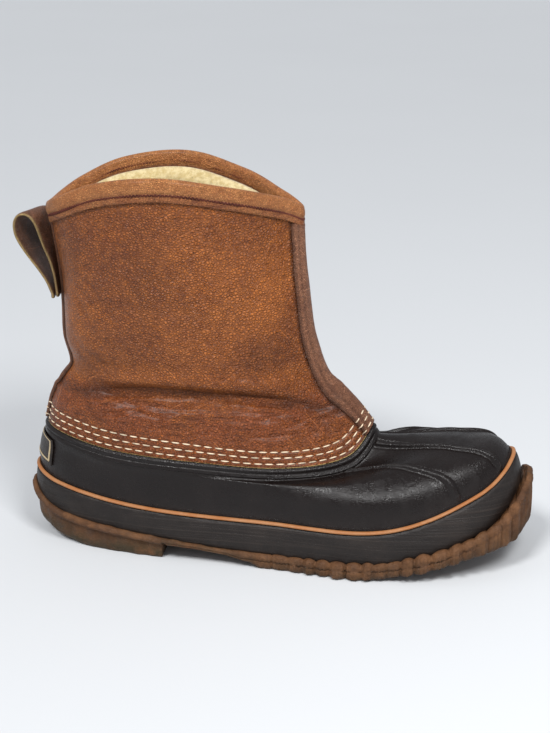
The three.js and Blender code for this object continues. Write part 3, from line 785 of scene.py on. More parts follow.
@dataclass(frozen=True)
class PaintedLightSpot:
    """A patch of painted sheen on the shaft, or of painted shade if its strength is less than 0.

    Attributes:
        x: its middle, from heel to toe.
        z: its middle, above the floor.
        wide: how far it spreads along x.
        high: how far it spreads along z.
        strength: from -1 to 1.
    """

    x: float
    z: float
    wide: float
    high: float
    strength: float


# Patches of painted sheen (strength above 0) and painted shade (strength below 0) on the shaft's leather.
PAINTED_LIGHT_SPOTS = (
    PaintedLightSpot(84, 150, 9, 24, 0.9), PaintedLightSpot(58, 128, 22, 12, 0.5), PaintedLightSpot(-28, 140, 8, 22, 0.7), PaintedLightSpot(-36, 106, 9, 10, 0.8),
    PaintedLightSpot(0, 112, 26, 8, 0.55), PaintedLightSpot(62, 178, 16, 12, 0.45), PaintedLightSpot(38, 190, 12, 8, 0.4), PaintedLightSpot(96, 112, 14, 8, 0.5),
    PaintedLightSpot(20, 172, 15, 22, -0.75), PaintedLightSpot(-24, 184, 10, 16, -0.5), PaintedLightSpot(84, 124, 13, 11, -0.8),
    PaintedLightSpot(8, 134, 15, 14, -0.45), PaintedLightSpot(44, 150, 10, 12, -0.3), PaintedLightSpot(112, 92, 14, 6, -0.4),
)


def fold_depth(points: Array, folds: tuple[Fold, ...]) -> Array:
    """How deep each point is pressed in by the folds.

    Args:
        points: points of the shaft, last axis of 3.
        folds: the folds.

    Returns:
        Depths in millimetres, positive inward.
    """
    total = np.zeros(points.shape[:-1])
    xz = points[..., [0, 2]]
    wobble = noise(points, 9.0, 3) * 0.9
    for fold in folds:
        path = np.array(fold.path, float)
        near = np.full(points.shape[:-1], 1e9)
        along = np.zeros_like(near)
        parts = len(path) - 1
        for k in range(parts):
            a, b = path[k], path[k + 1]
            d = b - a
            t = np.clip(((xz - a) @ d) / (d @ d), 0, 1)
            gap = np.linalg.norm(xz - a - t[..., None] * d, axis=-1)
            closer = gap < near
            near = np.where(closer, gap, near)
            along = np.where(closer, (k + t) / parts, along)
        fade = smooth(along, 0, 0.22) * smooth(1 - along, 0, 0.22)
        shape = np.exp(-((near + wobble * 0.5) / fold.width) ** 2)
        on_side = smooth(points[..., 1] * fold.side.value, -2, 6)
        total += fold.depth * shape * fade * on_side
    return total


def strip_half(level: Array, columns: float) -> Array:
    """Half the angle that a seam strip spans at a level: narrower at its foot."""
    return columns * math.pi / 24 * (0.6 + 0.4 * smooth(level, SEAM, CREASE + 0.5))


@dataclass
class Shaft:
    """The leather shaft, with its strips, stitching and binding."""

    columns: int = 440
    rows: int = 196
    binding_depth: float = 10.5
    binding_wall: float = 1.3
    strip_wall: float = 1.9
    front_columns: float = 3.0
    back_columns: float = 1.0
    stitch_rows: tuple[float, ...] = (3.0, 7.0, 11.0)
    stitch_length: float = 4.9
    stitch_gap: float = 1.5

    def press(self, angle: Array, level: Array) -> Array:
        """How far out the leather's face stands from the skin."""
        base = SKIN.point(angle, level)
        hold = smooth(level, SEAM + 0.15, SEAM + 1.3) * (1 - smooth(level, COLLAR - 0.35, COLLAR - 0.1))
        low = smooth(level, CREASE + 0.4, CREASE - 0.3)
        soft = noise(base, 34, 1) * 0.55 + noise(base, 15, 2) * 0.22
        ripple = noise(base * np.array([0.4, 0.4, 1.6]), 5, 5) * 0.75 * low
        ripple += noise(base * np.array([0.6, 0.6, 1.3]), 2.6, 7) * 0.22 * low
        ripple += noise(base, 3.4, 6) * 0.08
        return (soft + ripple - fold_depth(base, FOLDS)) * hold

    def leather(self) -> bpy.types.Object:
        """The shaft's leather, both faces and both edges."""
        angle = turn(self.columns)
        up = np.concatenate([[SEAM + 0.01, SEAM + 0.03], np.linspace(SEAM + 0.05, COLLAR, self.rows - 2)])
        down = np.linspace(COLLAR, SEAM + 0.01, 12)
        a, l = np.meshgrid(angle, np.concatenate([up, down]), indexing="ij")
        lift = self.press(a, l)
        lift[:, self.rows:] = -LEATHER_WALL
        n = self.rows
        lift[:, 0] -= 0.5
        base = SKIN.point(a, l)
        groove = np.zeros_like(lift)
        for row in self.stitch_rows:
            level = SKIN.level_from(angle, SEAM, row)[:, None]
            near = np.linalg.norm(base[:, :n] - SKIN.point(a[:, :n], np.broadcast_to(level, a[:, :n].shape)), axis=-1)
            groove[:, :n] += 0.35 * np.exp(-(near / 0.9) ** 2)
        points = base + SKIN.normal(a, l) * (lift - groove)[..., None]
        cloud = 0.75 + 0.5 * noise(base, 7, 12)
        # Painted sheen from the spots goes into the worn mark, and their painted shade into the shade mark.
        worn = sum(light_spot.strength * np.exp(-((base[..., 0] - light_spot.x) / light_spot.wide) ** 2
                                          - ((base[..., 2] - light_spot.z) / light_spot.high) ** 2) for light_spot in PAINTED_LIGHT_SPOTS) * cloud
        run = np.zeros_like(l)
        run[:, :n] = np.clip(l[:, :n] - SEAM, 0, 9)
        marks = {
            "red": smooth(CREASE + 0.25 - l, 0, 0.9) * (l > SEAM),
            "shade": np.clip(self._shade(base, l) + 0.5 * np.clip(-worn, 0, 1) + self._beside(a, l), 0, 1),
            "worn": np.clip(worn, 0, 1),
            "raw": np.where(run < 0.045, 1.0, 0.0) * (np.arange(l.shape[1]) < n)[None, :],
        }
        made = make("shaft_leather", points, ring_quads(*a.shape), SHAFT_LEATHER, "brown_leather", marks)
        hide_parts("upper")
        return made

    def _shade(self, base: Array, level: Array) -> Array:
        """Painted shade on the leather: a painted shadow along the trough under the main fold, and darker patches
        along the seam, at the ankle and at the back.
        """
        x, z = base[..., 0], base[..., 2]
        fold_x, fold_z = zip(*FOLDS[0].path)
        # Painted shadow in the trough under the main fold.
        trough = np.exp(-((z - np.interp(x, fold_x, fold_z) - 1) / 3.0) ** 2)
        band = np.exp(-((level - SEAM - 0.1) / 0.3) ** 2) * 0.3
        ankle = np.exp(-((x - 88) / 20) ** 2 - ((z - 122) / 18) ** 2) * 0.35
        back = np.exp(-((x + 26) / 16) ** 2 - ((z - 128) / 26) ** 2) * 0.15
        cloud = 0.5 + 0.5 * noise(base, 16, 8)
        return np.clip((trough + band + ankle + back) * (0.55 + 0.6 * cloud), 0, 1)

    def _beside(self, angle: Array, level: Array) -> Array:
        """The dark line where the leather meets the strips."""
        total = np.zeros_like(level)
        for middle, columns in ((0.0, self.front_columns), (math.pi, self.back_columns)):
            off = np.abs((angle - middle + math.pi) % (2 * math.pi) - math.pi)
            total += 0.9 * (1 - smooth(off / strip_half(level, columns), 1.03, 1.16))
        return total

    def stitching(self) -> bpy.types.Object:
        """Three rows of cream stitches round the foot of the leather."""
        kit = Stitches(0.38)
        for number, row in enumerate(self.stitch_rows):
            angle = turn(2400)
            path = self._row(angle, row)
            run = np.concatenate([[0], np.cumsum(np.linalg.norm(np.diff(path, axis=0), axis=1))])
            pitch = self.stitch_length + self.stitch_gap
            count = int(run[-1] / pitch)
            pitch = run[-1] / count
            starts = np.arange(count) * pitch + 0.4 * number * pitch
            t = starts[:, None] + np.linspace(0, self.stitch_length, kit.rings)[None, :]
            angles = np.interp(t % run[-1], run, angle)
            spots = self._row(angles.ravel(), row).reshape(*angles.shape, 3)
            levels = SKIN.level_from(angles.ravel(), SEAM, row).reshape(angles.shape)
            kit.add(spots, SKIN.normal(angles, levels))
        return kit.make("seam_stitching", CREAM_THREAD, "brown_leather")

    def _row(self, angle: Array, distance: float) -> Array:
        """Points on the leather or the strips, a distance above the leather's edge."""
        level = SKIN.level_from(angle, SEAM, distance)
        out = self.press(angle, level) + 0.04
        for middle, columns in ((0.0, self.front_columns), (math.pi, self.back_columns)):
            off = np.abs((angle - middle + math.pi) % (2 * math.pi) - math.pi)
            half = strip_half(level, columns)
            out = np.maximum(out, (GAP + self.strip_wall + 0.1) * (1 - smooth(off, half * 0.93, half * 1.06)))
        return SKIN.at(angle, level, out)

    def strip(self, name: str, middle: float, columns: float, node: str) -> bpy.types.Object:
        """A strip that covers the front or the back seam.

        Args:
            name: the object's name.
            middle: its angle.
            columns: half its width, in columns of 7.5 degrees.
            node: the CAD node that it stands for.

        Returns:
            The strip.
        """
        top = SKIN.level_from(np.array([middle]), COLLAR, -self.binding_depth + 1.0)[0]
        levels = np.linspace(SEAM + 0.05, top, 240)
        half_ring = 26
        t = np.linspace(-1, 1, half_ring)
        crown = self.strip_wall * (1 - np.abs(t) ** 7 * 0.75) + 0.18 * np.exp(-((np.abs(t) - 0.82) / 0.1) ** 2)
        share = np.concatenate([t, t[::-1]])
        lift = np.concatenate([crown, np.zeros(half_ring)]) + GAP
        l, s = np.meshgrid(levels, share, indexing="ij")
        a = middle + s * strip_half(l, columns) * (1 + 0.03 * noise(np.stack([l * 30, l * 0, l * 0], -1), 9, 4))
        soft = self.press(a, l)
        out = np.broadcast_to(lift, l.shape) + soft * 0.85
        face = np.broadcast_to(np.arange(share.size) < half_ring, l.shape)
        stitch = np.exp(-((np.abs(s) - 0.66) / 0.05) ** 2) * 0.22 * face
        points = SKIN.at(a, l, out - stitch)
        marks = {"red": np.zeros_like(l), "raw": np.zeros_like(l),
                 "shade": np.clip(smooth(np.abs(s), 0.84, 0.97) + 0.55 * np.exp(-((np.abs(s) - 0.66) / 0.07) ** 2)
                                  + 0.35 * smooth(CREASE + 1.0 - l, 0, 2), 0, 1)}
        made = make(name, points, sweep_quads(*l.shape), STRIP_LEATHER, "strip_leather", marks)
        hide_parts(node)
        return made

    def binding(self) -> bpy.types.Object:
        """Leather folded over the collar's edge."""
        angle = turn(520)
        near = GAP + self.binding_wall + 0.1
        far = -LEATHER_WALL - GAP - self.binding_wall
        middle, radius = (near + far) / 2, (near - far) / 2
        depth = -self.binding_depth
        profile = [(depth, GAP), (depth, near - 0.5), (depth + 0.5, near), (depth + 2.5, near + 0.1),
                   (depth + 3.6, near + 0.05), (depth + 4.3, near - 0.3), (depth + 5.0, near + 0.05),
                   (depth + 7.0, near + 0.35), (depth + 9.0, near + 0.3), (-0.4, near + 0.05)]
        for turn_ in np.linspace(0.25, math.pi - 0.25, 9):
            profile.append((radius * math.sin(turn_) * 0.95, middle + (radius + 0.05) * math.cos(turn_)))
        profile += [(-0.4, far - 0.05), (depth + 9.0, far - 0.3), (depth + 7.0, far - 0.35), (depth + 5.0, far),
                    (depth + 4.3, far + 0.3), (depth + 3.6, far), (depth + 2.5, far - 0.1), (depth + 0.5, far),
                    (depth, far + 0.5), (depth, -LEATHER_WALL - GAP)]
        profile += [(-0.2, -LEATHER_WALL - GAP), (0.5, middle), (-0.2, GAP)]
        points = []
        for down, out in profile:
            level = SKIN.level_from(angle, COLLAR, down) if down < 0 else np.full(angle.shape, COLLAR + down)
            rim = SKIN.at(angle, level, np.full(angle.shape, out))
            points.append(rim)
        grid = np.stack(points, axis=1)
        bump = noise(grid, 7, 4) * 0.22 + noise(grid, 22, 5) * 0.3
        normals = SKIN.normal(angle, np.full(angle.shape, COLLAR))[:, None, :]
        grid = grid + normals * bump[..., None]
        shade = np.zeros(grid.shape[:2])
        for k, (down, _) in enumerate(profile):
            shade[:, k] = 0.75 * math.exp(-((down - depth - 4.3) / 0.8) ** 2) + (0.6 if down <= depth + 0.3 else 0)
        red = np.array([0.8 if down < depth + 5 else 0.15 for down, _ in profile])
        marks = {"red": np.broadcast_to(red, shade.shape) * 1.0, "shade": shade, "raw": np.zeros_like(shade)}
        made = make("collar_binding_leather", grid, ring_quads(*shade.shape), BINDING_LEATHER,
                    "binding_leather", marks)
        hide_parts("collar_binding")
        return made

    def zigzag(self) -> bpy.types.Object:
        """Zigzag stitches on both faces of the binding."""
        kit = Stitches(0.34, 5, 4)
        near = GAP + self.binding_wall + 0.1
        far = -LEATHER_WALL - GAP - self.binding_wall
        count = 230
        for out, sign, row in ((near, 1, -6.3), (far, -1, -3.4)):
            ends = turn(count * 2)
            high = SKIN.level_from(ends, COLLAR, row + 1.2)
            low = SKIN.level_from(ends, COLLAR, row - 1.2)
            level = np.where(np.arange(count * 2) % 2 == 0, high, low)
            a0, a1 = ends, np.roll(ends, -1).copy()
            a1[-1] += 2 * math.pi
            l0, l1 = level, np.roll(level, -1)
            t = np.linspace(0.04, 0.96, kit.rings)[None, :]
            a = a0[:, None] + (a1 - a0)[:, None] * t
            l = l0[:, None] + (l1 - l0)[:, None] * t
            normals = SKIN.normal(a, l)
            kit.add(SKIN.point(a, l) + normals * (out + 0.05 * sign), normals * sign)
        return kit.make("binding_stitching", DARK_THREAD, "binding_leather")

    def build(self) -> None:
        """Builds every piece of the shaft."""
        for made in (self.leather(), self.stitching(),
                     self.strip("front_seam_strip", 0.0, self.front_columns, "front_strip"),
                     self.strip("back_seam_strip", math.pi, self.back_columns, "back_strip"),
                     self.binding(), self.zigzag()):
            LOG.info("shaft: %s, %d faces", made.name, len(made.data.polygons))


@dataclass
class PullLoop:
    """A strap folded in two on the back of the shaft."""

    width: float = 22.0
    wall: float = 2.4
    foot: float = 151.0
    height: float = 49.0
    twist: float = -20.0
    path: tuple[tuple[float, float], ...] = (
        (-0.02, -0.02), (-0.03, 0.15), (-0.04, 0.32), (-0.07, 0.5), (-0.1, 0.66), (-0.14, 0.82), (-0.2, 0.93),
        (-0.28, 0.975), (-0.36, 0.95), (-0.41, 0.87), (-0.42, 0.76), (-0.38, 0.62), (-0.31, 0.47), (-0.22, 0.31),
        (-0.14, 0.16), (-0.085, 0.02), (-0.08, -0.04),
    )

    def build(self) -> None:
        """Builds the strap."""
        level = SKIN.level_from(np.array([math.pi]), ANKLE, self.foot - SKIN.point(math.pi, ANKLE)[2])
        seat = SKIN.at(np.array([math.pi]), level, np.array([2.4]))[0, 0]
        knots = np.array(self.path) * self.height + np.array([seat, self.foot])
        at = np.linspace(0, len(knots) - 1, 96)
        k = np.clip(np.floor(at).astype(int), 0, len(knots) - 2)
        f = (at - k)[:, None]
        ends = np.concatenate([[2 * knots[0] - knots[1]], knots, [2 * knots[-1] - knots[-2]]])
        a, b, c, d = ends[k], ends[k + 1], ends[k + 2], ends[k + 3]
        line = b + 0.5 * f * (c - a + f * (2 * a - 5 * b + 4 * c - d + f * (3 * (b - c) + d - a)))
        tangent = np.gradient(line, axis=0)
        tangent /= np.linalg.norm(tangent, axis=1, keepdims=True)
        across = np.stack([tangent[:, 1], -tangent[:, 0]], axis=1)
        edge = np.linspace(-1, 1, 24)
        crown = self.wall / 2 * (1 - np.abs(edge) ** 9 * 0.7)
        y = np.concatenate([edge, edge[::-1]]) * self.width / 2
        out = np.concatenate([crown, -crown[::-1]])
        hug = smooth(1 - (line[:, 1] - self.foot) / self.height, 0.1, 0.9)[:, None]
        points = np.empty((96, 48, 3))
        points[..., 0] = line[:, :1] + across[:, :1] * out + hug * (y / 11) ** 2 * 1.5
        points[..., 1] = y + 0.5 * np.sin(line[:, 1:] / 9)
        points[..., 2] = line[:, 1:] + across[:, 1:] * out
        turned = smooth((line[:, 1:] - self.foot) / self.height, 0.1, 0.75) * math.tan(math.radians(self.twist))
        points[..., 0] -= points[..., 1] * turned
        points += (noise(points, 8, 2) * 0.35)[..., None] * np.array([1, 0.6, 0])
        side = np.broadcast_to(np.abs(y) / (self.width / 2), (96, 48))
        inside = np.broadcast_to(np.arange(48) >= 24, (96, 48))
        marks = {"red": np.zeros((96, 48)), "raw": smooth(side, 0.9, 0.99) * 0.55,
                 "shade": 0.5 * inside * smooth(line[:, 1:], 150, 180)}
        made = make("pull_strap", points, sweep_quads(96, 48), LOOP_LEATHER, "loop_leather", marks)
        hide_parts("pull_loop")
        LOG.info("pull loop: %s", made.name)


# ---- The rubber bottom ------------------------------------------------------------------------


@dataclass(frozen=True)
class Ridge:
    """A moulded ridge over the toe, in degrees from the toe's middle."""

    top: float
    foot: float


@dataclass
class RubberBottom:
    """The moulded rubber, with its rim, ridges, foxing, stripe and heel patch."""

    columns: int = 560
    bead: float = 1.5
    rim: float = 0.95
    ridge_rise: float = 1.7
    ridge_width: float = 3.2
    ridges: tuple[Ridge, ...] = (Ridge(32, 37), Ridge(10, 16), Ridge(-10, -16), Ridge(-32, -37))
    stripe_height: float = 2.2
    foxing_wall: float = 1.6

    def relief(self, angle: Array, level: Array) -> Array:
        """How far the rubber's face stands out from the skin."""
        t = level - RIM
        band = self.rim * smooth(t, -0.02, 0.1)
        roll = self.bead * np.sqrt(np.clip(1 - ((t - 0.76) / 0.235) ** 2, 0, 1))
        groove = -0.35 * np.exp(-((t - 0.47) / 0.05) ** 2)
        out = np.maximum(band + groove, roll) * (t > -0.05)
        base = SKIN.point(angle, level)
        off = (angle + math.pi) % (2 * math.pi) - math.pi
        for ridge in self.ridges:
            start = SKIN.point(math.radians(ridge.top), RIM)[..., :2]
            run = SKIN.point(math.radians(ridge.foot), STRIPE)[..., :2] - start
            run /= np.linalg.norm(run)
            near = np.abs((base[..., 0] - start[0]) * run[1] - (base[..., 1] - start[1]) * run[0])
            near = np.where(np.abs(off) < 1.4, near, 99.0)
            line = self.ridge_rise * (1 - smooth(near, self.ridge_width * 0.2, self.ridge_width * 0.5))
            line -= 0.3 * np.exp(-((near - self.ridge_width * 0.72) / 0.6) ** 2)
            out = out + line * smooth(level, STRIPE + 0.12, STRIPE + 0.5) * (1 - smooth(t, -0.06, 0.02))
        soft = noise(base, 30, 4) * 0.3 + noise(base, 11, 5) * 0.1
        return out + soft * smooth(level, STRIPE, SHOULDER) * (1 - smooth(t, -0.25, -0.05))

    def shell(self) -> bpy.types.Object:
        """The moulded rubber, hollow, with its flange behind the leather."""
        even = turn(self.columns)
        angle = even + 0.35 * np.sin(even - math.pi)
        up = np.concatenate([np.linspace(TUCK, STRIPE, 8, endpoint=False),
                             np.linspace(STRIPE, RIM - 0.1, 106, endpoint=False),
                             np.linspace(RIM - 0.1, SEAM - 0.01, 46)])
        lap = -LEATHER_WALL - GAP
        tail = [(SEAM, lap), (STITCHING - 0.25, lap), (STITCHING - 0.25, lap - 1.5), (RIM + 0.4, lap - 1.5),
                (4.6, -RUBBER_WALL), (4.0, -RUBBER_WALL), (3.0, -RUBBER_WALL), (2.0, -RUBBER_WALL),
                (1.0, -RUBBER_WALL), (TUCK, -RUBBER_WALL)]
        levels = np.concatenate([up, [l for l, _ in tail]])
        a, l = np.meshgrid(angle, levels, indexing="ij")
        out = self.relief(a, l)
        out[:, len(up):] = [o for _, o in tail]
        points = SKIN.at(a, l, out)
        marks = {"grime": 0.5 * np.exp(-((l - STRIPE) / 0.35) ** 2) + 0.25 * np.exp(-((l - RIM + 0.02) / 0.08) ** 2),
                 "strip": np.stack([np.broadcast_to(self._run(angle)[:, None] * 0.001, l.shape), l * 0.01, l * 0],
                                   axis=-1)}
        made = make("rubber_shell", points, ring_quads(*a.shape), TOE_RUBBER, "dark_rubber", marks)
        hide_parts("rubber_bottom")
        return made

    def knurl(self) -> bpy.types.Object:
        """A fine row of beads just above the stripe."""
        kit = Stitches(0.42, 5, 3)
        angle = turn(3000)
        level = SKIN.level_from(angle, STRIPE, self.stripe_height / 2 + 1.6)
        path = SKIN.at(angle, level, self.relief(angle, level) + 0.02)
        run = np.concatenate([[0], np.cumsum(np.linalg.norm(np.diff(path, axis=0), axis=1))])
        starts = np.arange(0, run[-1], 1.45)
        t = starts[:, None] + np.linspace(0, 0.95, kit.rings)[None, :]
        spots = np.stack([np.interp(t, run, path[:, k]) for k in range(3)], axis=-1)
        angles = np.interp(t, run, angle)
        levels = np.interp(t, run, level)
        kit.add(spots, SKIN.normal(angles, levels))
        return kit.make("rubber_knurl", TOE_RUBBER, "dark_rubber")

    def foxing(self) -> bpy.types.Object:
        """The band round the foot of the rubber."""
        angle = turn(520)
        top = SKIN.level_from(angle, STRIPE, -self.stripe_height / 2 - 0.1)
        t = np.linspace(0, 1, 34)
        l = 0.72 + (top[:, None] - 0.72) * t[None, :]
        face = GAP + self.foxing_wall + 0.25 * np.sin(math.pi * t) - 0.9 * np.exp(-((1 - t) / 0.035) ** 2)
        out = np.broadcast_to(face, l.shape)
        back = l[:, ::-5]
        levels = np.concatenate([l, back], axis=1)
        outs = np.concatenate([out, np.full(back.shape, GAP)], axis=1)
        a = np.broadcast_to(angle[:, None], levels.shape)
        base = SKIN.point(a, levels)
        outs = outs + noise(base * np.array([0.5, 0.5, 3]), 7, 9) * 0.12
        run = self._run(angle)
        marks = {"grime": np.clip(1.25 - levels, 0, 1) ** 1.2 * 0.9,
                 "strip": np.stack([np.broadcast_to(run[:, None] * 0.001, levels.shape), base[..., 2] * 0.001,
                                    levels * 0], axis=-1)}
        made = make("foxing_band", SKIN.at(a, levels, outs), ring_quads(*a.shape), FOXING_RUBBER,
                    "foxing_rubber", marks)
        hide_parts("foxing")
        return made

    def _run(self, angle: Array) -> Array:
        """Distance run round the stripe at each angle."""
        path = SKIN.point(angle, np.full(angle.shape, STRIPE))
        return np.concatenate([[0], np.cumsum(np.linalg.norm(np.diff(path, axis=0), axis=1))])

    def stripe(self) -> bpy.types.Object:
        """The tan stripe, a flattened half round."""
        angle = turn(520)
        t = np.linspace(-1, 1, 13)
        levels = np.stack([SKIN.level_from(angle, STRIPE, k * self.stripe_height / 2) if abs(k) > 1e-6
                           else np.full(angle.shape, float(STRIPE)) for k in t], axis=1)
        face = GAP + 2.0 * (1 - 0.6 * np.abs(t) ** 2.5)
        levels = np.concatenate([levels, levels[:, ::-4]], axis=1)
        out = np.concatenate([face, np.full(4, GAP)])
        a = np.broadcast_to(angle[:, None], levels.shape)
        base = SKIN.point(a, levels)
        marks = {"grime": 0.4 + 0.4 * noise(base, 12, 3),
                 "strip": np.stack([np.broadcast_to(self._run(angle)[:, None] * 0.001, levels.shape),
                                    base[..., 2] * 0.001, levels * 0], axis=-1)}
        outs = out + noise(base, 6, 8) * 0.1
        made = make("tan_stripe", SKIN.at(a, levels, outs), ring_quads(*a.shape), STRIPE_RUBBER,
                    "tan_rubber", marks)
        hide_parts("foxing_stripe")
        return made

    def patch(self) -> list[bpy.types.Object]:
        """The plain heel patch and the pale frame round it."""
        made = []
        low, high = SHOULDER - 0.35, RIM - 0.35
        reach = np.linalg.norm(SKIN.point(math.pi + 0.02, 3.5) - SKIN.point(math.pi - 0.02, 3.5)) / 0.04
        half = 19 / reach
        for name, finish, inner, lift, slot in (("heel_plate", PATCH_RUBBER, 0.0, 0.8, "patch_rubber"),
                                                ("heel_frame", FRAME_PAINT, 0.88, 1.0, "patch_rubber")):
            if inner == 0.0:
                levels = np.linspace(low, high, 30)
                t = np.linspace(-1, 1, 44)
                share = np.concatenate([t, t[::-1]])
                l, s = np.meshgrid(levels, share, indexing="ij")
                out = np.concatenate([np.full(44, GAP + lift), np.full(44, GAP)])
                points = SKIN.at(math.pi + s * half, l, np.broadcast_to(out, l.shape))
                quads = sweep_quads(*l.shape)
            else:
                corner = np.linspace(0, 2 * math.pi, 160, endpoint=False) + 0.01
                c, s_ = np.cos(corner), np.sin(corner)
                grow = 1 / np.maximum(np.abs(c), np.abs(s_))
                ring = np.stack([c * grow, s_ * grow], axis=1)
                rows = []
                for size_x, size_z, out in ((0.93, 0.86, GAP + 0.7), (0.93, 0.86, GAP + lift + 0.05),
                                            (0.885, 0.77, GAP + lift + 0.05), (0.885, 0.77, GAP + 0.7)):
                    l = (low + high) / 2 + ring[:, 1] * size_z * (high - low) / 2
                    rows.append(SKIN.at(math.pi + ring[:, 0] * size_x * half, l, np.full(l.shape, out)))
                points = np.stack(rows, axis=1)
                quads = ring_quads(160, 4)
            marks = {"grime": np.full(points.reshape(-1, 3).shape[0], 0.3)}
            piece = make(name, points, quads, finish, slot, marks)
            made.append(piece)
        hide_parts("heel_patch")
        return made

    def build(self) -> None:
        """Builds every piece of the rubber bottom."""
        for made in (self.shell(), self.knurl(), self.foxing(), self.stripe(), *self.patch()):
            LOG.info("rubber bottom: %s, %d faces", made.name, len(made.data.polygons))


# ---- The sole ---------------------------------------------------------------------------------


TREAD = ((0, 9.1), (12.16, 6.3), (24.3, 2.45), (38, 0), (203.7, 0), (218.9, 2.1), (240.2, 6.3), (261.4, 12.25),
         (282.7, 16.8), (304, 23.8))


